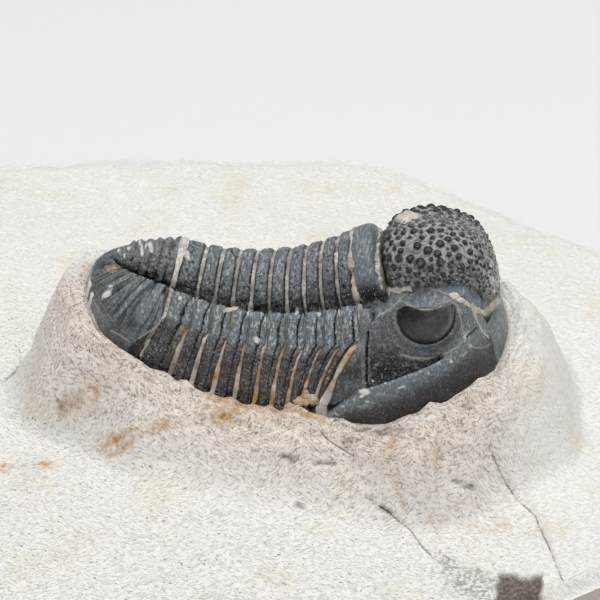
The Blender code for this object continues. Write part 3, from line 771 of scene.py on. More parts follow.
def segment_relief(number, base, t, s, w):
    """Fine relief of a segment: its ring, and two bands on each pleura; and fields for its look."""
    half = along_thorax(s, AXIS_HALF_WIDTH)
    fulcrum = along_thorax(s, FULCRUM_OUT)
    inner = unit((w - half) / (fulcrum - half))
    outer = ramp(-0.1, 0.25, w - fulcrum)
    lumps = rough(base, 0.45, 10 + number)
    fine = rough(base, 0.19, 20 + number, 2)
    middle_high = 0.05 * (1 - (2 * t - 1) ** 2)

    ring = middle_high - 0.12 * np.abs(2 * t - 1) ** 7 + 0.045 * lumps + 0.045 * fine
    furrow_at = 0.95 - 0.30 * ramp(0.0, 0.8, inner)
    finger = unit(1 - ((t - 0.5 * furrow_at) / (0.51 * furrow_at)) ** 2) ** 0.6
    wedge = unit(1 - ((t - 0.5 - 0.5 * furrow_at) / (0.5 - 0.46 * furrow_at)) ** 2) ** 0.6
    bands = 0.30 * most(finger, 0.8 * wedge) - 0.26
    fade = 1 - 0.45 * ramp(0.1, 1.3, w - fulcrum)
    facet = -0.16 * ramp(0.5, 1.0, t) * outer
    tip = ramp(along_thorax(s, TIP_OUT) - 0.9, along_thorax(s, TIP_OUT), w)
    rounded_tip = -0.25 * tip * np.abs(2 * t - 1) ** 2
    pleura = bands * fade + facet + rounded_tip + 0.035 * lumps + 0.030 * fine
    shoulder = 0.07 * bump(w, fulcrum - 0.05, 0.16)
    relief = np.where(w < half, ring, pleura + shoulder)
    relief = relief - 0.20 * bump(w, half + 0.05, 0.12)
    ridged = most(finger, wedge)
    fields = {"half": half, "fulcrum": fulcrum, "outer": outer, "lumps": lumps, "fine": fine,
              "ridged": ridged}
    return relief, fields


def segment_look(number, base, deep, t, y, half, fulcrum, outer, lumps, fine, ridged):
    """Masks for rock powder on crests and edges, a painted sheen on the pleura and the ring's arch, painted
    highlights on ridges and bands, brown flanks, painted shade in grooves, at the ring's foot and along the
    joints, and the marks.
    """
    w = np.abs(y)
    arch = round_off(w / half)
    on_ring = ramp(0.03, -0.03, w - half)
    # Painted shade on the ring's flank, darkest down at the axial furrow
    furrow_shade = (1 - ramp(0.10, 0.60, arch + 0.15 * lumps + 0.1 * fine)) * on_ring
    # Painted shade in the relief's grooves, and a painted highlight on its ridges
    groove = ramp(0.003, 0.018, deep)
    high = ramp(-0.002, -0.014, deep)
    edges = ramp(0.90, 1.0, t) + ramp(0.08, 0.0, t)
    flank_of_ring = on_ring * ramp(1.0, 0.93, arch)
    dusty_edge = edges * (1 - flank_of_ring) * (0.6 + 0.5 * noise(base, 0.5, 31 + number))
    # Painted shadow along both edges of the ring at each joint
    joint_shadow = (ramp(0.78, 0.95, t) + ramp(0.20, 0.04, t)) * on_ring * (0.6 + 0.4 * flank_of_ring)
    crest = ramp(0.90, 1.0, arch) * on_ring * (0.45 + 0.4 * noise(base, 0.9, 51))
    crest = most(crest, on_ring * bump(y / half, 0.55, 0.20) * (0.9 + 0.4 * noise(base, 0.5, 52)))
    down = w - fulcrum + 0.35 * lumps
    field = (1 - on_ring) * (1 - ramp(-0.4, 0.8, down))
    lit_band = (1 - on_ring) * outer * bump(t, 0.62, 0.16) * (0.35 + 0.75 * noise(base, 0.9, 57 + number))
    where = in_photo(base)
    seen = seen_side(base, 1)
    upper = most(field, 0.6 * arch * on_ring)
    # Lighter ridges: rock dust together with a painted highlight
    worn = 0.95 * high * upper * (1 - furrow_shade) * (0.7 + 0.6 * noise(base, 0.8, 53))
    rubbed = patches(where, THORAX_WORN, 0.4) * seen * (1 - groove) * (1 - outer)
    powder_and_highlight = 0.65 * field * ridged * ramp(-0.6, 0.5, noise(base, 0.5, 61 + number))
    lit_arch = arch * on_ring * (1 - furrow_shade)
    # The painted highlight on the ring's arch goes in with the powder
    powder_and_highlight = powder_and_highlight + lit_arch * (0.22 + 0.35 * noise(base, 0.45, 81 + number))
    worn = most(worn, powder_and_highlight, rubbed * ramp(-0.2, 0.6, lumps + fine))
    return {"dust_and_highlight": most(dusty_edge * (1 - 0.5 * outer), crest, worn),
            # Painted sheen on the inner pleura and its ridges, on the ring's arch and along the outer bands
            "pale_and_sheen": most(field * (0.40 + 0.75 * ridged), 0.75 * lit_arch, 0.55 * lit_band),
            "brown": ramp(-0.2, 0.7, down) * (0.75 + 0.4 * noise(base, 1.2, 41)) * (1 - 0.6 * lit_band),
            "dark": most(furrow_shade * (0.85 - 0.5 * high), groove, 0.9 * joint_shadow),
            "chip": patches(where, THORAX_CHIPS) * seen,
            "ochre": patches(where, THORAX_OCHRE) * seen * (0.6 + 0.6 * fine),
            "crack": drawn(where, SHELL_CRACKS, 1.0) * seen,
            "rim": 0.45 * drawn(where, SHELL_CRACKS, 1.6) * seen}


# Tail shield

def pygidium():
    """The tail: u runs from its front to its rear end, v from -1 on the right to 1 on the left."""
    def surface(u, v):
        s, w, h = pygidium_point(u, np.abs(v))
        return place(s, np.sign(v) * w, h)

    u, v = fine_grid(surface, (0, 1), (1, -1), PYGIDIUM_CELLS)
    s, w, h = pygidium_point(u, np.abs(v))
    side = np.sign(v)
    v = np.abs(v)
    base = place(s, side * w, h)
    relief, fields = tail_relief(base, u, v)
    top = raised(base, relief)
    masks = tail_look(base, hollows(top), u, v, side, **fields)
    return plate("pygidium_shell", top, place(s, side * w, floor_height(s)), masks)


def tail_relief(base, u, v):
    """Fine relief of the tail: rings with knobs on its axis, ribs and fine lines beside it."""
    on_axis = v < AXIS_SHARE
    out = unit((v - AXIS_SHARE) / (1 - AXIS_SHARE))
    arch = np.cos(0.5 * pi * unit(v / AXIS_SHARE))
    ring_phase = (PYGIDIUM_RINGS * u) % 1
    rings = 0.26 * np.sin(pi * ring_phase) ** 0.7 * (1 - 0.6 * u) - 0.14
    centres, widths = scatter(base, np.where(v < 0.38, 0.34 - 0.10 * u, 0), TAIL_KNOBS)
    near, width = tubercles(base, centres, widths)
    knobs = 0.30 * width * np.sqrt(unit(1 - (near / 0.9) ** 2))
    axis = rings + 0.7 * knobs + 0.11 * rough(base, 0.34, 51, 4)
    rib_phase = (PYGIDIUM_RIBS * u + 0.12) % 1
    rib = np.sin(pi * rib_phase) ** 0.8 * ramp(1.0, 0.7, out) * (1 - 0.8 * u)
    ribs = 0.26 * np.sin(pi * rib_phase) ** 0.9 * (1 - 0.7 * u)
    ribs = ribs * ramp(1.0, 0.75, out) * ramp(0.0, 0.12, out)
    ridge = 0.14 * bump(u, 0.115, 0.022) * ramp(0.15, 0.4, out) * ramp(1.0, 0.8, out)
    fine_lines = noise(np.stack([u * 70, out * 5, 0 * u], axis=-1), 1.0, 55)
    scratches = 0.045 * fine_lines * ramp(0.95, 0.2, out) + 0.008 * rough(base, 0.25, 61, 2)
    border_line = 0.05 * bump(out, 0.90, 0.012)
    field = ribs + ridge + scratches - border_line
    relief = np.where(on_axis, axis, field) - 0.22 * bump(v, AXIS_SHARE + 0.012, 0.018) * (1 - 0.6 * u)
    relief = (relief - 0.10 * ramp(0.03, 0.0, u)) * ramp(1.0, 0.97, u)
    fields = {"on_axis": on_axis, "out": out, "arch": arch, "near": near, "rib": rib,
              "fine_lines": fine_lines}
    return relief, fields


def tail_look(base, deep, u, v, side, on_axis, out, arch, near, rib, fine_lines):
    """Masks for rock powder on crests, painted highlights on ridges and fine lines, a painted sheen on the
    ribs and the axis's top, painted shade in furrows, at the axis's foot and in the fine lines, a darker,
    browner facet on the field's near side, and the chips of the margin.
    """
    where = in_photo(base)
    seen = seen_side(base, 0.5)
    # Painted shade at the foot of the axis, down at the furrow
    foot = (1 - ramp(0.05, 0.55, arch + 0.15 * rough(base, 0.4, 65))) * on_axis
    crest = ramp(0.8, 1.0, arch) * (0.35 + 0.5 * rough(base, 0.5, 71)) * on_axis
    crest = most(crest, bump(side * v / AXIS_SHARE, 0.45, 0.2) * (0.8 + 0.4 * noise(base, 0.4, 72)))
    between = ramp(0.75, 1.1, near) * on_axis * 0.35 * (1 - foot)
    x, y = in_photo(near_side(base))
    facet = ramp(-0.5, 1.5, (x - 176) * 0.654 + (y - 306) * 0.757) * ramp(0.2, 0.4, out)
    worn = ramp(0.86, 1.0, out) * ramp(0.6, 0.9, u) * (0.4 + 1.2 * rough(base, 0.6, 75))
    high = ramp(-0.003, -0.02, deep)
    # Painted highlight on the ridges and ribs
    between = most(between, 0.6 * high * np.where(on_axis, arch, 0.35 + rib))
    rim_dust = ramp(0.93, 1.0, out) * ramp(0.25, 0.5, u) * (0.5 + 0.5 * noise(base, 0.6, 79))
    lined = (1 - on_axis) * (1 - facet) * ramp(1.0, 0.8, out)
    # Painted highlight on the raised side of the fine lines, and painted shade in their low side
    lit_lines = 0.75 * lined * ramp(0.10, 0.55, fine_lines) * (0.35 + 0.65 * rib)
    between = most(between, rim_dust, lit_lines)
    scratch_shade = 0.55 * lined * ramp(-0.15, -0.6, fine_lines)
    return {"dust_and_highlight": most(crest, between),
            # Painted sheen on the ribs and on the top of the axis
            "pale_and_sheen": np.where(on_axis, 0.4 * arch, 0.25 + 0.95 * rib) * (1 - facet),
            "brown": 0.25 * facet,
            # Painted shade in hollows, at the axis's foot and in the fine lines, and the darker facet
            "dark": most(foot, ramp(0.010, 0.035, deep), 0.8 * facet, scratch_shade),
            "chip": most(patches(where, TAIL_CHIPS) * seen, worn),
            "ochre": patches(where, TAIL_OCHRE) * seen * (0.7 + 0.5 * rough(base, 0.2, 77)),
            "gloss": 0.45 * (1 - on_axis),
            "rim": drawn(where, TAIL_LINES, 0.7) * seen}


# Head

def scatter(points, spacing, draws, fixed=()):
    """Seeded choice of a grid's points that keep a distance from each other, the fixed ones first."""
    tries, seed = draws
    random = np.random.default_rng(seed)
    fixed_at = np.array([at for at, _ in fixed]).reshape(-1, 3)
    chosen = random.choice(spacing.size, tries, replace=False)
    points = np.concatenate([fixed_at, points.reshape(-1, 3)[chosen]])
    gaps = spacing.ravel()[chosen] * random.uniform(*KNOB_SIZES, tries)
    gaps = np.concatenate([[size for _, size in fixed], gaps])
    order = np.argsort(-gaps[len(fixed):]) + len(fixed)
    kept = list(range(len(fixed)))
    for index in order[gaps[order] > 0]:
        apart = np.linalg.norm(points[kept] - points[index], axis=-1) - 0.5 * (gaps[kept] + gaps[index])
        if np.all(apart >= 0):
            kept.append(index)
    return points[kept], gaps[kept]


def tubercles(points, centres, widths):
    """Nearness of the closest knob at each point of a grid, 1 at its foot, and its width."""
    flat = points.reshape(-1, 3)
    best = np.full(len(flat), 9.0)
    width = np.ones(len(flat))
    for centre, size in zip(centres, widths):
        near = np.linalg.norm(flat - centre, axis=-1) / (0.5 * size)
        closer = near < best
        best[closer] = near[closer]
        width[closer] = size
    return best.reshape(points.shape[:-1]), width.reshape(points.shape[:-1])


def head_surface(s, y):
    """The head, with the front of the glabella bulging forward over its foot."""
    w = np.abs(y)
    bulge = GLABELLA_BULGE * np.sin(pi * fullness(s, w)) * ramp(10.5, 13.0, s)
    return place(s + bulge, y, head_height(s, w) + rise_to_thorax(s, w))


def rise_to_thorax(s, w):
    """How much higher the rear of the cheeks stands, so that it meets the thorax without a step."""
    joint = swept(S_HEAD, w)
    step = unit(thorax_profile(joint, w) - head_height(joint + HALF_GAP, w))
    beside_axis = ramp(3.2, 3.7, w) * ramp(7.1, 6.4, w)
    return step * beside_axis * ramp(1.7, 0.1, s - joint)


def knob_spacing(s, w):
    """Widest on the glabella's flanks, small towards its front and top, none outside it."""
    size = 0.60 - 0.14 * ramp(1.9, 0.3, w) - 0.17 * ramp(10.4, 12.6, s)
    size = size - 0.18 * ramp(0.62, 0.35, fullness(s, w))
    return np.where((glabella_distance(s, w) < 0.999) & (s > OCCIPITAL_FRONT + 0.15), size, 0)


def big_knobs(points):
    """The knobs that stand out in the photograph, and their twins on the other side."""
    near = points[seen_side(points)]
    x, y = in_photo(near)
    made = []
    for at_x, at_y, width in BIG_KNOBS:
        at = near[np.argmin(np.hypot(x - at_x, y - at_y))]
        size = width * MM_PER_PIXEL / KNOB_SHARE
        made += [(at, size), (at * (1, -1, 1) + (0, 2 * BODY_AT[1], 0), size)]
    return made


def cranidium():
    def surface(a, b):
        return head_surface(*cranidium_point(a, b))

    a, b = fine_grid(surface, (0, 1), (1, -1), CRANIDIUM_CELLS)
    s, y = cranidium_point(a, b)
    w = np.abs(y)
    base = softened(head_surface(s, y), 3)
    relief, fields = head_relief(base, s, w)
    top = raised(base, relief)
    masks = head_look(base, hollows(top), s, w, **fields)
    return plate("cranidium_shell", top, place(s, y, floor_height(s)), masks)


def head_relief(base, s, w):
    """Fine relief of the head's middle: knobs, wrinkles, grooves, and rock left in furrows."""
    g = glabella_distance(s, w)
    on_glabella = ramp(1.003, 0.992, g) * (s > OCCIPITAL_FRONT)
    centres, widths = scatter(base, knob_spacing(s, w), HEAD_KNOBS, big_knobs(base))
    near, width = tubercles(base, centres, widths)
    near = near + 0.11 * rough(base, 0.24, 96, 2)
    dome = np.sqrt(unit(1 - (near / KNOB_SHARE) ** 2))
    knobs = 0.27 * width * dome * on_glabella
    on_ring = (s < OCCIPITAL_FRONT) & (w < OCCIPITAL_HALF_WIDTH)
    ring_arch = round_off(w / OCCIPITAL_HALF_WIDTH)
    wrinkles = 0.03 * noise(base * np.array([3.0, 1.0, 1.0]), 0.9, 85) * on_ring * (1 - ring_arch)
    grain = 0.020 * rough(base, 0.3, 81) + 0.018 * rough(base, 0.15, 91, 2)
    behind_furrow = s - swept(S_HEAD, w)
    beside_ring = ramp(OCCIPITAL_HALF_WIDTH + 0.1, OCCIPITAL_HALF_WIDTH + 0.6, w)
    where = in_photo(near_side(base))
    grooves = 0.30 * bump(behind_furrow, POSTERIOR_BORDER, 0.16) * beside_ring
    grooves = grooves + 0.10 * drawn(where, HEAD_GROOVES, 1.3) * (1 - on_glabella)
    above_lobe = drawn(where, (LOBE_LINES[1],), 1.6) * ramp(0.0, 0.25, w - 3.0)
    grooves = grooves + 0.10 * above_lobe
    filled = rock_fill(where, base, ROCK_FILLS, 3.4)
    front_fill = rock_fill(where, base, FRONT_FILLS, 3.0) * ramp(-0.3, 0.4, rough(base, 0.4, 97))
    relief = knobs + wrinkles + grain * (1 + 1.5 * on_glabella) - grooves
    relief = relief * (1 - filled) + filled * rock_height(base)
    fields = {"where": where, "g": g, "on_glabella": on_glabella, "near": near, "dome": dome,
              "on_ring": on_ring, "ring_arch": ring_arch, "filled": filled, "front_fill": front_fill}
    return relief, fields


def head_look(base, deep, s, w, where, g, on_glabella, near, dome, on_ring, ring_arch, filled,
              front_fill):
    """Masks for rock powder between the knobs, dark domes, painted shade in furrows, at the ring's foot and
    on the glabella's lower part, painted glints and highlights, a painted sheen off the glabella, and the
    rock that was left.
    """
    high = ramp(-0.003, -0.02, deep)
    up_glabella = 1 - g ** GLABELLA_FULLNESS
    low = (1 - ramp(0.04, 0.42, up_glabella + 0.1 * rough(base, 0.5, 95))) * on_glabella
    low = low * ramp(13.2, 12.0, s)
    # Painted shade at the foot of the occipital ring
    ring_foot_shade = (1 - ramp(0.1, 0.5, ring_arch)) * on_ring
    top_of_glabella = ramp(1.2, 0.2, w) * on_glabella
    uneven = noise(base, 0.5, 98)
    dome_edge = ramp(0.15, 0.6, near) * ramp(0.98, 0.86, near)
    dark_domes = most(0.85 * dome_edge, (0.05 + 0.5 * uneven) * dome)
    dark_domes = dark_domes * (1 - 0.5 * top_of_glabella) * on_glabella
    foot_rim = bump(near, 0.98, 0.12) * (1.1 + 0.6 * uneven)
    between = most(foot_rim, ramp(0.84, 0.94, near) * (0.95 + 0.6 * noise(base, 0.25, 100)))
    # Painted glints on the glabella's lower part, which is left darker, with less dust, as painted shade
    sparkle = low * ramp(0.35, 0.65, noise(base, 0.13, 109))
    between = most(between * (1 - 0.60 * low), sparkle, 0.30 * dome * top_of_glabella) * on_glabella
    crest = ramp(0.93, 1.0, ring_arch) * on_ring * 0.4
    seen = seen_side(base, 1.5)
    front_rock = ramp(11.8, 13.3, s) * on_glabella * ramp(0.1, 0.8, rough(base, 0.45, 97))
    # Painted highlight on ridges off the glabella
    between = most(between, 0.40 * high * (1 - low) * (1 - ring_foot_shade) * (1 - on_glabella))
    # Off the glabella and the ring's foot, the shell gets the worn grey with its painted sheen
    lobe = (1 - on_glabella) * (1 - ring_foot_shade)
    rock_tone = 0.65 + 0.35 * noise(base, 0.5, 103) + 0.35 * noise(base, 0.15, 104)
    return {"dust_and_highlight": most(between, crest, front_rock),
            "pale_and_sheen": lobe * 0.9,
            # Dark knobs, with painted shade at the ring's foot and in hollows
            "dark": most(dark_domes, ring_foot_shade, ramp(0.012, 0.05, deep)) * (1 - filled),
            "chip": most(patches(where, HEAD_CHIPS) * seen, most(filled, front_fill) * rock_tone),
            "ochre": 0.8 * filled,
            "crack": drawn(where, HEAD_GROOVES, 1.0) * (1 - on_glabella) * (1 - filled),
            "rim": drawn(where, LOBE_LINES, 0.75) * (1 - on_glabella) * (1 - filled),
            "gloss": most(dome * on_glabella, 0.5 * lobe)}


def rock_height(points):
    return 0.06 + 0.08 * rough(points, 0.2, 99)


def rock_fill(where, points, lines, width):
    """1 where rock fills a furrow along drawn lines, with ragged edges."""
    along = drawn(where, lines, width)
    ragged = 0.28 * rough(points, 0.40, 105) + 0.24 * rough(points, 0.16, 107, 2)
    return ramp(0.44, 0.62, along + ragged) * ramp(0.05, 0.2, along)


def free_cheek(side):
    sign = 1 if side == "left" else -1

    def surface(a, b):
        s, w = cheek_point(a, b)
        return head_surface(s, sign * w)

    span = (1, 0) if side == "left" else (0, 1)
    a, b = fine_grid(surface, (0, 1), span, CHEEK_CELLS)
    s, w = cheek_point(a, b)
    base = softened(head_surface(s, sign * w), EYE_SOFTENING)
    relief, fields = cheek_relief(base, s, w)
    top = raised(base, relief)
    masks = cheek_look(base, hollows(top), **fields)
    return plate(f"free_cheek_{side}_shell", top, place(s, sign * w, floor_height(s)), masks)


def cheek_relief(base, s, w):
    """Fine relief of a cheek: the eye's dome and ledge, the border's groove and terraces."""
    where = in_photo(near_side(base))
    x, y = where
    m = margin_distance(s, w)
    furrow = np.interp(s, *BORDER_FURROW)
    eye_x, eye_y, eye_w, eye_h = EYE_IN_PHOTO
    eye_right = (x - eye_x) / eye_w
    eye_down = (y - eye_y) / eye_h
    r = np.hypot(eye_right, eye_down)
    under_eye = ramp(eye_y - 6, eye_y + 4, y)
    off_seam = ramp(0.0, 0.40, w - suture_out(s))
    on_eye = ramp(1.03, 0.98, r)
    dome = EYE_BULGE * np.sqrt(unit(1 - r ** 2)) * off_seam
    ring = (0.10 * bump(r, 1.22, 0.13) - 0.15 * bump(r, 1.045, 0.024)) * under_eye
    eye = (r, eye_right, eye_down)
    grain = 0.022 * rough(base, 0.35, 111) + 0.018 * rough(base, 0.15, 121, 2)
    behind = drawn(where, POSTERIOR_FURROW, 1.1)
    band = ramp(367, 364.5, x) * ramp(0.0, 0.02, furrow - m)
    posterior = 0.26 * behind * ramp(0.0, 0.02, furrow - m) - 0.10 * band
    outside = ramp(1.50, 1.58, r)
    border_groove = bump(m, furrow, 0.014) * outside
    grooves = 0.09 * drawn(where, HEAD_GROOVES, 1.3) + 0.05 * drawn(where, CHEEK_LINES, 1.0)
    terrace = 0.010 * np.sin(m * 620) * ramp(0.965, 0.975, m) * ramp(11.5, 10.0, s)
    away = ramp(0.0, 0.15, w - suture_out(s))
    suture_fill = drawn(where, FRONT_SUTURE, 0.8) * (0.8 + 0.4 * noise(base, 0.3, 145))
    lines = posterior + 0.14 * border_groove + grooves - terrace
    relief = dome + (ring + grain * (1 - on_eye) - lines) * away
    filled = rock_fill(where, base, ROCK_FILLS[1:2], 3.4)
    relief = (relief - 0.04 * suture_fill) * (1 - filled) + filled * rock_height(base)
    fields = {"where": where, "m": m, "furrow": furrow, "eye": eye, "on_eye": on_eye,
              "under_eye": under_eye, "outside": outside, "band": band, "behind": behind,
              "border_groove": border_groove, "suture_fill": suture_fill, "filled": filled}
    return relief, fields


def cheek_look(base, deep, where, m, furrow, eye, on_eye, under_eye, outside, band, behind,
               border_groove, suture_fill, filled):
    """Masks for the dark eye, with a painted shadow under its lobe and a painted reflection on its rim, the
    field, darker towards the bottom, the painted highlight and sheen of the border's roll, painted shade in
    the furrows and on the border's lower face, and powder, flecks and left rock.
    """
    x, y = where
    r, eye_right, eye_down = eye
    seen = seen_side(base)
    field = ramp(1.42, 1.5, r) * ramp(0.0, 0.03, furrow - m) * ramp(365, 368, x)
    speckle = ramp(0.35, 0.8, rough(base, 0.22, 131, 2))
    # Painted highlight along the crest of the border's roll
    lit_roll = ramp(0.0, 0.02, m - furrow) * ramp(0.075, 0.025, m - furrow)
    lit_roll = lit_roll * ramp(356, 368, x) * outside
    # Painted highlight along the crest of the posterior border
    posterior_crest_highlight = drawn(where, POSTERIOR_HIGHLIGHT, 2.4) * (0.7 + 0.5 * noise(base, 0.3, 147))
    down_field = ramp(332, 372, y)
    # Painted shade on the border's lower face, which is also tinted brown
    low_face = ramp(0.982, 1.0, m) * outside
    # Painted highlight on the ridges, laid with the dust speckle
    high = ramp(-0.002, -0.014, deep)
    flecks = ramp(0.55, 0.9, rough(base * np.array([0.5, 1, 1]), 0.35, 141)) * bump(m, 0.972, 0.014) * outside
    socle = bump(r, 1.22, 0.12) * under_eye
    plain = (1 - on_eye) * (1 - low_face) * (1 - 0.8 * socle)
    low_band = band * ramp(346, 366, y)
    # Painted shadow on the eye's upper left, under its lobe, and a painted reflection along its lower right
    # rim
    shaded = ramp(0.5, -0.9, eye_right + 0.9 * eye_down)
    lit_eye = bump(r, 0.86, 0.07) * ramp(0.3, 1.1, eye_right + 0.3 * eye_down)
    roll_highlight = 0.60 * lit_roll * (0.7 + 0.5 * noise(base, 0.4, 143))
    # Painted sheen over the roll's upper face; the cheek is drawn lighter at the top and darker towards the
    # bottom
    roll = 0.8 * outside * (m > furrow) * ramp(1.0, 0.965, m)
    pale_and_sheen = unit(lit_roll + roll + 0.15 * band + 0.75 - 0.55 * down_field)
    dark_field = 0.85 * field * down_field * (1 - 0.4 * speckle)
    dark_band = 0.55 * low_band * (0.7 + 0.5 * noise(base, 0.8, 149))
    # Painted shade in the border furrow, the posterior furrow and the furrow round the eye
    dark_lines = most(0.9 * border_groove, behind * (m < furrow), bump(r, 1.045, 0.028))
    rock = filled * (0.65 + 0.4 * noise(base, 0.3, 104))
    return {"dust_and_highlight": most(0.40 * most(speckle, high) * plain, roll_highlight, 0.6 * posterior_crest_highlight, 0.30 * lit_eye),
            "pale_and_sheen": pale_and_sheen * (1 - on_eye) * (1 - 0.5 * socle),
            "brown": 0.45 * on_eye + 0.5 * field + 0.5 * low_face,
            "dark": most(dark_field, dark_band, dark_lines, 0.8 * on_eye * shaded, 0.35 * socle,
                         0.5 * low_face),
            "chip": most(patches(where, HEAD_CHIPS) * seen, flecks, 0.9 * suture_fill, rock),
            "ochre": most(0.3 * suture_fill, 0.8 * filled),
            "crack": drawn(where, HEAD_GROOVES, 1.0),
            "rim": drawn(where, LOBE_LINES + CHEEK_LINES, 0.8),
            "gloss": most(on_eye, 0.5)}


# Rock left in the joints of the shell

def joint_strip(number):
    """Top and under side of the rock in the joint at the rear of a segment, 0 being the head's."""
    joint_s = S_TAIL if number == SEGMENTS else S_HEAD - number * SEGMENT_PITCH
    reach = STRIP_REACH if number else STRIP_REACH_AT_HEAD
    across, v = np.meshgrid(np.linspace(-1, 1, STRIP_CELLS[1] + 1),
                            np.linspace(reach, -reach, STRIP_CELLS[0] + 1), indexing="ij")
    y = v * along_thorax(joint_s, TIP_OUT)
    w = np.abs(y)
    s = swept(joint_s, w)
    half = along_thorax(s, AXIS_HALF_WIDTH)
    fulcrum = along_thorax(s, FULCRUM_OUT)
    arch = round_off(w / half)
    outer = ramp(-0.3, 0.5, w - fulcrum)
    down = unit((w - fulcrum + 0.2) / (7.2 - fulcrum))
    on_flank = ramp(0.97, 0.80, arch) * (w < half)
    base = place(s, y, thorax_profile(s, w))
    uneven = noise(base, 0.7, 301 + number)
    thick = HALF_GAP + 0.05
    fill = np.where(w < half, -0.24 + 0.08 * arch, -0.34 + 0.05 * outer) + 0.08 * uneven
    if number == 0:
        ragged = rough(base, 0.35, 363)
        thick = thick + 0.10 * down + 0.14 * uneven * (w > half) + on_flank * (0.04 + 0.12 * ragged)
        fill = fill + 0.42 * ramp(0.0, 0.3, down) + 0.04 + 0.12 * uneven + 0.16 * on_flank * (1 + ragged)
        fill = fill - 0.9 * ramp(0.9, 1.0, down)
    if number == SEGMENTS:
        thick = thick + (0.14 * uneven + 0.10 * rough(base, 0.35, 361)) * (w < half)
        fill = fill + (0.22 + 0.14 * uneven) * ramp(half + 0.6, half + 0.2, w)
    s = s + across * thick
    base = place(s, y, thorax_profile(s, w))
    normal = normals_of(base)
    crown = 0.06 * (1 - across ** 2)
    top = base + normal * (fill + crown + 0.07 * rough(base, 0.3, 331 + number))[..., None]
    masks = strip_look(number, base, w < half, arch, outer, down, on_flank)
    return top, base - normal * STRIP_DEPTH, masks


def strip_look(number, base, on_axis, arch, outer, down, on_flank):
    """Masks for the rock in a joint: stained at the tips, with painted shade in the narrow joint, paler at
    the head's and the tail's joint.
    """
    patchy = rough(base, 0.8, 351)
    loaded = 0.35 * (number == SEGMENTS) + 0.25 * (number == 0)
    stained = outer * (0.80 + 0.5 * patchy) * (1.0 if number < PALE_JOINTS_FROM else 0.25)
    if number == 0:
        on_cheek = ramp(0.0, 0.2, down) * ramp(0.75, 0.35, down)
        stained = (on_cheek + 0.30 * on_flank) * (0.9 + 0.5 * patchy)
    return {"ochre": stained,
            "grey": np.where(on_axis, 0.9 - loaded, 0.7 - 0.7 * outer),
            # Painted shade in the narrow joint, lighter on the ring's top and on the outer pleura
            "dim": np.where(on_axis, 0.95 - 0.35 * arch, 0.9 - 0.30 * outer) + 0.5 * patchy - loaded,
            "flank": np.where(on_axis, 0.25, 0.6)}


def joint_rock():
    parts = [slab(f"joint_{number}", *joint_strip(number)) for number in range(SEGMENTS + 1)]
    parts.extend(rock_remains())
    bpy.ops.object.select_all(action="DESELECT")
    for part in parts:
        part.select_set(True)
    bpy.context.view_layer.objects.active = parts[0]
    bpy.ops.object.join()
    made = bpy.context.view_layer.objects.active
    made.name = made.data.name = "rock_in_the_joints"
    return made


def rock_remains():
    """Small lumps of rock left on the shell."""
    s, y = np.meshgrid(np.linspace(S_TAIL - 5, S_HEAD + 8.3, 260), np.linspace(-7.5, 0.5, 160),
                       indexing="ij")
    w = np.abs(y)
    joint_s = swept(s, w)
    shell = np.where((s > S_HEAD)[..., None], head_surface(s, y),
                     place(joint_s, y, thorax_profile(joint_s, w)))
    normal = normals_of(shell)
    across, down = in_photo(shell)
    made = []
    for index, (at_x, at_y, *size, stain) in enumerate(ROCK_REMAINS):
        nearest = np.unravel_index(np.argmin(np.hypot(across - at_x, down - at_y)), s.shape)
        made.append(lump(f"remains_{index}", shell[nearest], normal[nearest], size, stain))
    return made


def lump(name, at, up, size, stain):
    bm = bmesh.new()
    bmesh.ops.create_icosphere(bm, subdivisions=4, radius=1.0)
    bm.verts.layers.int.new("source")
    turn = Vector(up).to_track_quat("Z", "Y")
    for vert in bm.verts:
        uneven = 1 + 0.30 * rough(np.array(vert.co) + np.array(at), 0.6, 501)
        flattened = Vector([along * length for along, length in zip(vert.co, size)])
        vert.co = (Vector(at) + turn @ (flattened * uneven)) * MM
    masks = {"grey": 0.4, "ochre": stain, "dim": 0.25}
    return finished(bm, name, {key: np.array([value]) for key, value in masks.items()})


# The block

def raw_outline(turn):
    """The block's outline at an angle, before it is fitted to size: a dented oblong."""
    to_front = ramp(*SQUARENESS_CHANGE, np.cos(turn))
    power = 2 / (BLOCK_SQUARENESS_REAR + (BLOCK_SQUARENESS_FRONT - BLOCK_SQUARENESS_REAR) * to_front)
    dents = 1 + sum(depth * np.sin(number * turn + phase) for depth, number, phase in OUTLINE_DENTS)
    x = np.sign(np.cos(turn)) * np.abs(np.cos(turn)) ** power
    y = np.sign(np.sin(turn)) * np.abs(np.sin(turn)) ** power
    return x * dents, y * dents


RAW_X, RAW_Y = raw_outline(np.linspace(0, 2 * pi, 2881))


def block_edge(turn):
    """A point of the full outline, fitted to the block's length and width."""
    x, y = raw_outline(turn)
    along = (2 * x - RAW_X.max() - RAW_X.min()) / (RAW_X.max() - RAW_X.min())
    across = (2 * y - RAW_Y.max() - RAW_Y.min()) / (RAW_Y.max() - RAW_Y.min())
    return along * BLOCK_LENGTH / 2, across * BLOCK_WIDTH / 2


def body_outline():
    """Directions and distances, from the body's place, of the points of its left margin."""
    turn = np.linspace(0, 0.5 * pi, 30)
    tail_s, tail_w, _ = pygidium_margin(turn)
    head_s, head_w = head_outline(turn)
    side_s = np.linspace(S_TAIL, GENAL_TIP[0], 40)
    genal_s = np.linspace(GENAL_TIP[0], S_HEAD, 8)
    s = np.concatenate([head_s, genal_s, swept(side_s, along_thorax(side_s, TIP_OUT)), tail_s])
    w = np.concatenate([head_w, margin_out(genal_s), along_thorax(side_s, TIP_OUT), tail_w])
    x = place(s, w, floor_height(s))[..., 0]
    direction = np.arctan2(w, x - BODY_AT[0])
    order = np.argsort(direction)
    return direction[order], np.hypot(x - BODY_AT[0], w)[order]


BODY_DIRECTIONS, BODY_DISTANCES = body_outline()
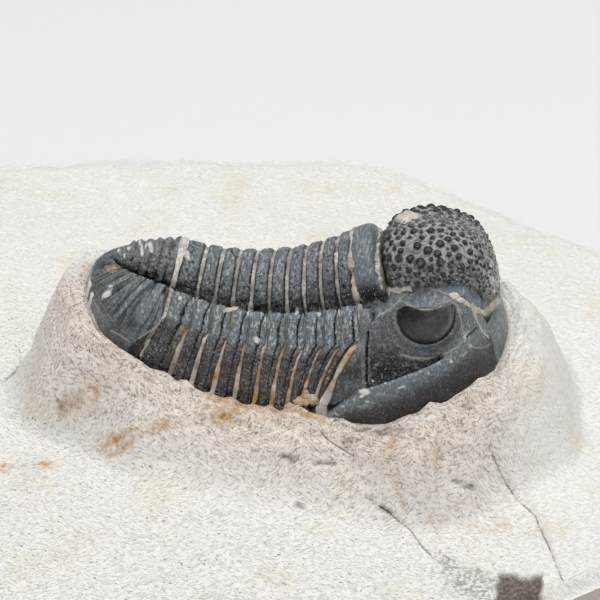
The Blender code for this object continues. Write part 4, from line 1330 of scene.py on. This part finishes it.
# Where each joint's line, drawn on past the tips, comes out beside the body
JOINT_S = np.array([S_TAIL] + [S_HEAD - number * SEGMENT_PITCH for number in range(SEGMENTS - 1, -1, -1)])
JOINT_TIPS = place(swept(JOINT_S, 9.0), 0, floor_height(JOINT_S))[:, 0]
BED = place(CURVE_S, 0, floor_height(CURVE_S) - BED_GAP)


def ground_height(x, y):
    swell = GROUND_SWELL * np.sin(0.16 * x + 0.4) * np.cos(0.13 * y)
    ripple = GROUND_RIPPLE * np.sin(0.35 * x + 0.27 * y)
    return GROUND_HEIGHT + swell + ripple


def matrix_top():
    """The rock's upper face: positions, how far down the pedestal's flank, and the ring's size."""
    side = np.linspace(-1, 1, TOP_CELLS + 1)
    v, u = np.meshgrid(side, side, indexing="ij")
    turn = np.arctan2(v, u)
    ring = most(np.abs(u), np.abs(v))
    margin = np.interp(np.abs(turn), BODY_DIRECTIONS, BODY_DISTANCES)
    shelf = margin + PEDESTAL_SHELF
    rings = [(BODY_AT[0] + distance * np.cos(turn), BODY_AT[1] + distance * np.sin(turn))
             for distance in (0 * margin, margin - 0.6, margin + 0.1, shelf, shelf + PEDESTAL_FLANK)]
    rings.append([edge * SIDE_RINGS[0][1] for edge in block_edge(turn)])
    x = np.zeros_like(ring)
    y = np.zeros_like(ring)
    for low, high, inner, outer in zip(RING_STOPS[:-1], RING_STOPS[1:], rings[:-1], rings[1:]):
        here = (ring >= low) & (ring <= high)
        q = (ring - low) / (high - low)
        x = np.where(here, mix(inner[0], outer[0], q), x)
        y = np.where(here, mix(inner[1], outer[1], q), y)
    flat = flat_points(x, y)
    bed = np.interp(x, BED[:, 0], BED[:, 2])
    wavering = 0.05 * rough(flat, 7.0, 275) * ramp(0.1, 0.3, ring)
    fall = ramp(RING_STOPS[3], RING_STOPS[4], ring + wavering)
    inside = ramp(RING_STOPS[1], RING_STOPS[2], ring)
    phase = np.interp(x, JOINT_TIPS, np.arange(SEGMENTS + 1))
    beside_thorax = ramp(-0.2, 0.8, phase) * ramp(SEGMENTS + 0.2, SEGMENTS - 0.8, phase)
    lift = BED_GAP + 0.50 + 0.34 * rough(flat, 0.9, 271) + 0.12 * rough(flat, 0.35, 273)
    lift = (lift + 0.22 * beside_thorax * np.cos(2 * pi * phase) * (1 - fall)) * inside * (1 - fall)
    rounding = EDGE_ROUNDING * ramp(EDGE_ROUNDING_FROM, 1, ring)
    z = bed + lift + (ground_height(x, y) - bed) * fall - rounding
    return np.stack([x, y, z], axis=-1), fall, inside, ring


def matrix_block():
    """The whole block of limestone, with its pedestal."""
    points, fall, inside, ring = matrix_top()
    relief, fields = rock_relief(points, fall, inside, ring)
    masks = rock_look(points, ring, **fields)
    return finished(block_mesh(raised(points, relief)), "limestone_block", masks)


def rock_relief(points, fall, inside, ring):
    """Fine relief of the rock: lumps, tool marks, pocks, cracks and pits."""
    where = in_photo(points)
    normals = normals_of(points)
    seen = seen_side(points, 2)
    flat = points * np.array([1, 1, 0.5])
    facing = most(ramp(-0.10, 0.30, -normals[..., 1]), ramp(0.3, 0.6, normals[..., 1]))
    beside = bump(ring, 0.09, 0.03) * ramp(RING_STOPS[1], 0.06, ring) * seen
    flank = (1 - fall) * most(inside * facing, beside) * (1 - 0.85 * ramp(485, 530, where[0]))
    offset = line_offset(where, ROCK_CRACKS)
    near_line = ramp(0.9, 0.6, np.abs(offset) / CRACK_REACH) * seen
    cracks = np.exp(-(offset / 1.6) ** 2) * near_line
    broken = broken_corner(where)
    pits = drawn(where, ROCK_PITS, 2.0) * seen
    lumps = 0.22 * rough(flat, 4.0, 201, 4) * inside
    tooled = (0.05 + 0.06 * flank) * rough(points * np.array([0.6, 1.4, 1.0]), 0.8, 211, 3) * inside
    pocks = 0.16 * ramp(0.60, 0.9, noise(flat, 1.1, 221)) * inside * ramp(0.1, 0.4, ring)
    relief = lumps + tooled - pocks - 0.20 * cracks - 0.15 * pits - 0.35 * broken
    fields = {"where": where, "seen": seen, "flat": flat, "flank": flank, "offset": offset,
              "near_line": near_line, "broken": broken, "pits": pits}
    return relief, fields


def rock_look(points, ring, where, seen, flat, flank, offset, near_line, broken, pits):
    """Masks for the scribed flank, iron stains, brown and grey spots, cracks and worked ground."""
    x, y = where
    spots = patches(where, ROCK_OCHRE, 0.8) * (0.55 + 0.6 * rough(flat, 0.8, 231))
    streaks = drawn(where, OCHRE_STREAKS, 4.0) * (0.55 + 0.6 * rough(flat, 0.8, 233))
    at_tips = bump(ring, 0.105, 0.03) * ramp(190, 215, x) * ramp(338, 322, x)
    at_tips = at_tips * (0.75 + 0.5 * rough(flat, 0.6, 235))
    ochre = most(spots * seen, streaks * seen, at_tips * seen)
    ochre = ochre * (1 - 0.65 * ramp(350, 390, x) * ramp(430, 460, y))
    in_view = (x > -20) & (x < PHOTO_SIZE + 20) & (y < PHOTO_SIZE + 20)
    far_ochre = 0.5 * ramp(0.45, 0.8, rough(flat, 5.0, 241)) * ~in_view
    ground = ramp(BODY_AT[1] + 16, BODY_AT[1] + 2, points[..., 1])
    return {"flank": flank,
            "crack": 0.8 * pits,
            "line": 0.5 + np.clip(offset / (2 * CRACK_REACH), -0.5, 0.5),
            "near_line": near_line,
            "tooled": ground * most(ramp(590, 470, x), 0.2 + 0.8 * flank),
            "ochre": most(ochre, far_ochre),
            "brown": patches(where, ROCK_BROWN, 0.5) * seen * (0.6 + 0.6 * rough(flat, 0.6, 251)),
            "broken": broken,
            "grey": patches(where, GREY_ROCK, 0.4)}


def block_mesh(top):
    """The block: its upper face, its sides ring by ring, and its underside."""
    bm, _ = grid_mesh(top)
    levels, shares = np.array(SIDE_RINGS).T
    rim = open_rim(bm)
    old_share, old_level = shares[0], 1.0
    side_verts = []
    for step in range(1, SIDE_CELLS + 1):
        level = 1 - step / SIDE_CELLS
        share = np.interp(level, levels[::-1], shares[::-1])
        verts, rim = grow_walls(bm, rim)
        for vert in verts:
            vert.co.x *= share / old_share
            vert.co.y *= share / old_share
            vert.co.z *= level / old_level
        side_verts += verts
        old_share, old_level = share, level
    break_sides(side_verts)
    bmesh.ops.contextual_create(bm, geom=rim)
    return bm


def broken_corner(where):
    """1 on the freshly broken, brown patch at the block's front edge."""
    x, y = where
    waver = 3 * rough(flat_points(x, y), 9.0, 611)
    left, top, right = BROKEN_ROCK
    across = most(left - x - 0.3 * (y - top), x - right)
    return ramp(2, -2, most(across, top - y) + waver)


def break_sides(verts):
    """Moves the points of the block's sides inwards, as rough as broken rock."""
    places = np.array([vert.co[:] for vert in verts]) / MM
    depth = 0.9 * unit(0.5 + 0.7 * rough(places, 4.0, 261, 5))
    depth = depth * ramp(0, 1.5, places[:, 2])
    for vert, at, inwards in zip(verts, places, depth):
        share = 1 - inwards / np.hypot(at[0], at[1])
        vert.co.x *= share
        vert.co.y *= share


# Materials

def colour(shade):
    """Linear RGBA of an sRGB hex colour; a colour that is a node's output stays as it is."""
    if not isinstance(shade, str):
        return shade
    channels = [int(shade[at:at + 2], 16) / 255 for at in (0, 2, 4)]
    linear = [c / 12.92 if c <= 0.04045 else ((c + 0.055) / 1.055) ** 2.4 for c in channels]
    return (*linear, 1.0)


def add(tree, kind, inputs=None, settings=None, output=0):
    """One output of a new node; each input gets a plain value or the output of another node."""
    node = tree.nodes.new("ShaderNode" + kind)
    for name, value in (settings or {}).items():
        setattr(node, name, value)
    for key, value in (inputs or {}).items():
        if isinstance(value, bpy.types.NodeSocket):
            tree.links.new(value, node.inputs[key])
        else:
            node.inputs[key].default_value = value
    return node.outputs[output]


def new_material(name):
    made = bpy.data.materials.new(name)
    made.use_nodes = True
    tree = made.node_tree
    return made, tree, tree.nodes["Principled BSDF"]


def masks_of(tree, *names):
    return [add(tree, "Attribute", {}, {"attribute_name": name}, "Fac") for name in names]


def pattern(tree, where, size, low, high, detail=3.0, stretch=(1, 1, 1), turn=0.0):
    """Noise lumps of a size in millimetres, cut to run from 0 at low to 1 at high."""
    per_metre = [stretched / (size * MM) for stretched in stretch]
    turned = add(tree, "Mapping", {"Vector": where, "Rotation": (0, 0, turn)})
    scaled = add(tree, "Mapping", {"Vector": turned, "Scale": per_metre})
    lumps = add(tree, "TexNoise", {"Vector": scaled, "Scale": 1.0, "Detail": detail})
    return add(tree, "MapRange", {"Value": lumps, "From Min": low, "From Max": high})


def layered(tree, base, layers):
    """Colours laid over each other, each covering as much as the product of its factors."""
    for *factors, over in layers:
        cover = 1.0
        for factor in factors:
            cover = add(tree, "Math", {0: cover, 1: factor}, {"operation": "MULTIPLY", "use_clamp": True})
        base = add(tree, "Mix", {0: cover, 6: base, 7: colour(over)}, {"data_type": "RGBA"}, 2)
    return base


def shell_material():
    """Black calcite shell cleaned with a fine abrasive, which leaves a semi-gloss and rock powder.

    The eye sees near black in the hollows, which is painted shade, a blue-grey sheen on worn crests, which is
    a painted sheen over their worn grey, and dull light powder beside it with painted highlights and glints
    among it.
    """
    made, tree, shader = new_material("abraded_black_calcite")
    where = add(tree, "TexCoord", output="Object")
    dust_and_highlight, pale_and_sheen, brown, dark, gloss = masks_of(tree, "dust_and_highlight", "pale_and_sheen", "brown", "dark", "gloss")
    chip, ochre, crack, rim = masks_of(tree, "chip", "ochre", "crack", "rim")
    # Clouds of 1 to 2 mm are the calcite's own; the specks are abrasion pits of about 0.05 mm,
    # drawn coarser than real, so that they show at the picture's size
    cloud = pattern(tree, where, 1.6, 0.35, 0.65)
    speckle = pattern(tree, where, 0.12, 0.45, 0.72, 4.0, (1, 1, 0.6))
    dots = pattern(tree, where, 0.16, 0.55, 0.64)
    glints = pattern(tree, where, 0.10, 0.645, 0.71, 2.0)
    powder = pattern(tree, where, 0.18, 0.25, 0.58, 2.0)
    # The streaks are marks of the abrasive jet across the body
    streaks = pattern(tree, where, 0.13, 0.52, 0.66, 3.0, (1, 0.2, 0.5))
    uneven = add(tree, "Math", {0: 1.0, 1: gloss}, {"operation": "SUBTRACT"})
    dusting = add(tree, "Mix", {0: pale_and_sheen, 2: powder, 3: streaks})
    unworn = add(tree, "MapRange", {"Value": pale_and_sheen, "To Min": 1.0, "To Max": 0.3})
    worn = layered(tree, colour("5f696f"), [(speckle, 0.5, "8f999f"), (streaks, uneven, "b0b8ba")])
    rusty = layered(tree, colour("241b1c"), [(cloud, "3d2d2b"), (streaks, 0.45, "6d605e")])
    base = layered(tree, colour("1f2124"), [
        (cloud, "3b3f44"),
        # The worn grey, with a painted blue-grey sheen, on crests and on faces turned up to the light
        (pale_and_sheen, worn),
        (brown, rusty),
        (speckle, cloud, uneven, unworn, 0.8, "a9adaf"),
        (dots, uneven, unworn, 0.9, "101012"),
        # Mostly painted shade in furrows, hollows, at the foot of the rings and along the joints; also the
        # black knobs and the darker cheek
        (dark, "0b0a0c"),
        (glints, uneven, 0.7, "d6d9d8"),
        # Rock dust, laid together with painted highlights on ridges, crests and rims, and painted glints
        (dust_and_highlight, dusting, "b4b5b3"),
        (rim, 0.65, "bdb8ac"),
        (crack, "131113"),
        (ochre, "a8925a"),
        (chip, "dedcd6")])
    # Dust, with the painted highlights that share its mask, and chips are dull; the eye, the cheeks and the
    # tops of the knobs have the most gloss
    semi_gloss = add(tree, "MapRange", {"Value": cloud, "To Min": 0.34, "To Max": 0.44})
    dull = add(tree, "Math", {0: dust_and_highlight, 1: chip}, {"operation": "MAXIMUM"})
    dulled = add(tree, "Math", {0: dull, 1: 0.45, 2: semi_gloss}, {"operation": "MULTIPLY_ADD"})
    polished = add(tree, "Math", {0: gloss, 1: -0.12, 2: dulled}, {"operation": "MULTIPLY_ADD"})
    sheen = add(tree, "MapRange", {"Value": dark, "To Min": 0.5, "To Max": 0.2})
    grain = pattern(tree, where, 0.12, 0.2, 0.8)
    bumped = add(tree, "Bump", {"Strength": 0.8, "Distance": 0.03 * MM, "Height": grain})
    shader.inputs["IOR"].default_value = 1.60
    for key, value in (("Base Color", base), ("Roughness", polished), ("Specular IOR Level", sheen),
                       ("Normal", bumped)):
        tree.links.new(value, shader.inputs[key])
    return made


def hairline_of(tree, where, line, near_line):
    """A wavering hairline where the drawn line's offset attribute crosses its middle."""
    wobble = pattern(tree, where, 0.8, 0.0, 1.0, 4.0)
    shift = add(tree, "Math", {0: wobble, 1: 0.10, 2: -0.55}, {"operation": "MULTIPLY_ADD"})
    offset = add(tree, "Math", {0: line, 1: shift}, {"operation": "ADD"})
    away = add(tree, "Math", {0: offset}, {"operation": "ABSOLUTE"})
    thin = add(tree, "MapRange", {"Value": away, "From Min": 0.075, "From Max": 0.025})
    return thin, near_line, pattern(tree, where, 0.9, 0.35, 0.55)


def limestone_material():
    """Cream limestone cut with an air scribe, whose point leaves it matt and covered in fine strokes.

    The eye sees chalky white ground, a pinkish scribed flank, grey hairs and a few iron stains.
    """
    made, tree, shader = new_material("scribed_cream_limestone")
    where = add(tree, "TexCoord", output="Object")
    flank, crack, ochre, brown, grey = masks_of(tree, "flank", "crack", "ochre", "brown", "grey")
    line, near_line, dim, tooled, broken = masks_of(tree, "line", "near_line", "dim", "tooled", "broken")
    cloud = pattern(tree, where, 6.0, 0.38, 0.62)
    warm = pattern(tree, where, 3.5, 0.55, 0.72)
    # The scribe's strokes are 0.3 to 0.5 mm long and about 0.1 mm wide, as on the real rock
    first, second, third = [pattern(tree, where, 0.34, 0.52, 0.64, 3.0, (1, 4.0, 1), turn)
                            for turn in (0.35, -0.5, 1.35)]
    pick = pattern(tree, where, 2.2, 0.47, 0.53)
    strokes = add(tree, "Mix", {0: pick, 2: first, 3: second})
    light_strokes = pattern(tree, where, 0.34, 0.55, 0.66, 2.0, (1, 4.5, 1), 0.9)
    specks = pattern(tree, where, 0.26, 0.645, 0.71, 2.0, (1, 1.6, 1), 0.2)
    powder = pattern(tree, where, 0.22, 0.42, 0.60)
    blotch = pattern(tree, where, 0.7, 0.25, 0.6)
    core = pattern(tree, where, 0.35, 0.48, 0.68)
    # The block's steep sides are old broken rock, greyer than the worked ground
    height = add(tree, "SeparateXYZ", {0: where}, output="Z")
    upwards = add(tree, "SeparateXYZ", {0: add(tree, "NewGeometry", output="Normal")}, output="Z")
    weathered, upper, steep = [
        add(tree, "MapRange", {"Value": value, "From Min": low, "From Max": high})
        for value, low, high in ((height, 14.2 * MM, 13.8 * MM), (height, 6.0 * MM, 12.0 * MM),
                                 (upwards, 0.62, 0.32))]
    scribed = layered(tree, colour("e9d9cc"), [(cloud, "f3e8dc")])
    old_face = layered(tree, colour("cbbfb6"), [(warm, "bda98f"), (powder, 0.5, "ddd5cc")])
    broken_face = layered(tree, colour("655b56"), [(powder, "857b74")])
    on_ground = add(tree, "MapRange", {"Value": flank, "To Min": 0.22, "To Max": 0.72})
    by_tool = add(tree, "MapRange", {"Value": tooled, "To Min": 0.15})
    base = layered(tree, colour("f6f5f1"), [
        (cloud, "f8f7f1"),
        (warm, 0.4, "efe2c4"),
        (flank, scribed),
        (weathered, steep, old_face),
        (strokes, on_ground, by_tool, "796b63"),
        (third, 0.5, on_ground, by_tool, "94867c"),
        (light_strokes, flank, 0.75, "fbf8f2"),
        (specks, tooled, 0.7, "66635d"),
        # Painted shade in the narrow joints between the plates; the lumps on the shell are dimmed a little
        (dim, 0.85, "625f5a"),
        (grey, powder, 0.8, "9b9c99"),
        (ochre, upper, blotch, "cba267"),
        (ochre, upper, core, 0.7, "ab7436"),
        (brown, blotch, 0.8, "7f6a57"),
        (crack, 0.8, "57514b"),
        (broken, upper, broken_face),
        (*hairline_of(tree, where, line, near_line), 0.7, "6a696b")])
    grain = pattern(tree, where, 0.25, 0.2, 0.8, 4.0)
    carved = add(tree, "Math", {0: grain, 1: strokes}, {"operation": "SUBTRACT"})
    bumped = add(tree, "Bump", {"Strength": 0.7, "Distance": 0.05 * MM, "Height": carved})
    tree.links.new(base, shader.inputs["Base Color"])
    tree.links.new(bumped, shader.inputs["Normal"])
    shader.inputs["Roughness"].default_value = 0.93
    shader.inputs["IOR"].default_value = 1.55
    return made


# Stage, light and camera

def floor():
    """A matt white card, which gives the eye an even ground without a horizon."""
    bm = bmesh.new()
    bmesh.ops.create_grid(bm, x_segments=1, y_segments=1, size=3.0)
    mesh = bpy.data.meshes.new("studio_floor")
    bm.to_mesh(mesh)
    bm.free()
    made, _, shader = new_material("white_studio_card")
    shader.inputs["Base Color"].default_value = colour("f3f3f3")
    shader.inputs["Roughness"].default_value = 0.9
    mesh.materials.append(made)
    in_scene("studio_floor", mesh)


def lighting():
    world = bpy.data.worlds.new("soft_room")
    bpy.context.scene.world = world
    world.use_nodes = True
    background = world.node_tree.nodes["Background"]
    background.inputs["Color"].default_value = colour("ffffff")
    background.inputs["Strength"].default_value = WORLD_STRENGTH
    light = bpy.data.lights.new("overhead_softbox", "AREA")
    light.shape = "SQUARE"
    light.size = SOFTBOX_SIZE
    light.energy = SOFTBOX_POWER
    made = in_scene("overhead_softbox", light)
    made.location = SOFTBOX_AT
    made.rotation_euler = (Vector(SOFTBOX_AIM) - Vector(SOFTBOX_AT)).to_track_quat("-Z", "Y").to_euler()


def camera():
    data = bpy.data.cameras.new("camera")
    data.lens = CAMERA_LENS
    data.sensor_width = CAMERA_SENSOR
    data.clip_start = 0.005
    made = in_scene("camera", data)
    made.location = Vector(CAMERA_MM) * MM
    made.rotation_euler = Vector(-CAMERA_FORWARD).to_track_quat("Z", "Y").to_euler()
    bpy.context.scene.camera = made


def dress(piece, node, material):
    piece.data.materials.clear()
    piece.data.materials.append(material)
    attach(piece, "root")
    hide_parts(node)


def main():
    shell = shell_material()
    limestone = limestone_material()
    for piece in (matrix_block(), joint_rock()):
        dress(piece, "matrix", limestone)
    for number in range(1, SEGMENTS + 1):
        dress(thorax_segment(number), f"thorax_segment_{number:02d}", shell)
    dress(pygidium(), "pygidium", shell)
    dress(cranidium(), "cranidium", shell)
    for side in ("right", "left"):
        dress(free_cheek(side), f"free_cheek_{side}", shell)
    floor()
    lighting()
    camera()
    bpy.context.scene.view_settings.view_transform = "Standard"


main()
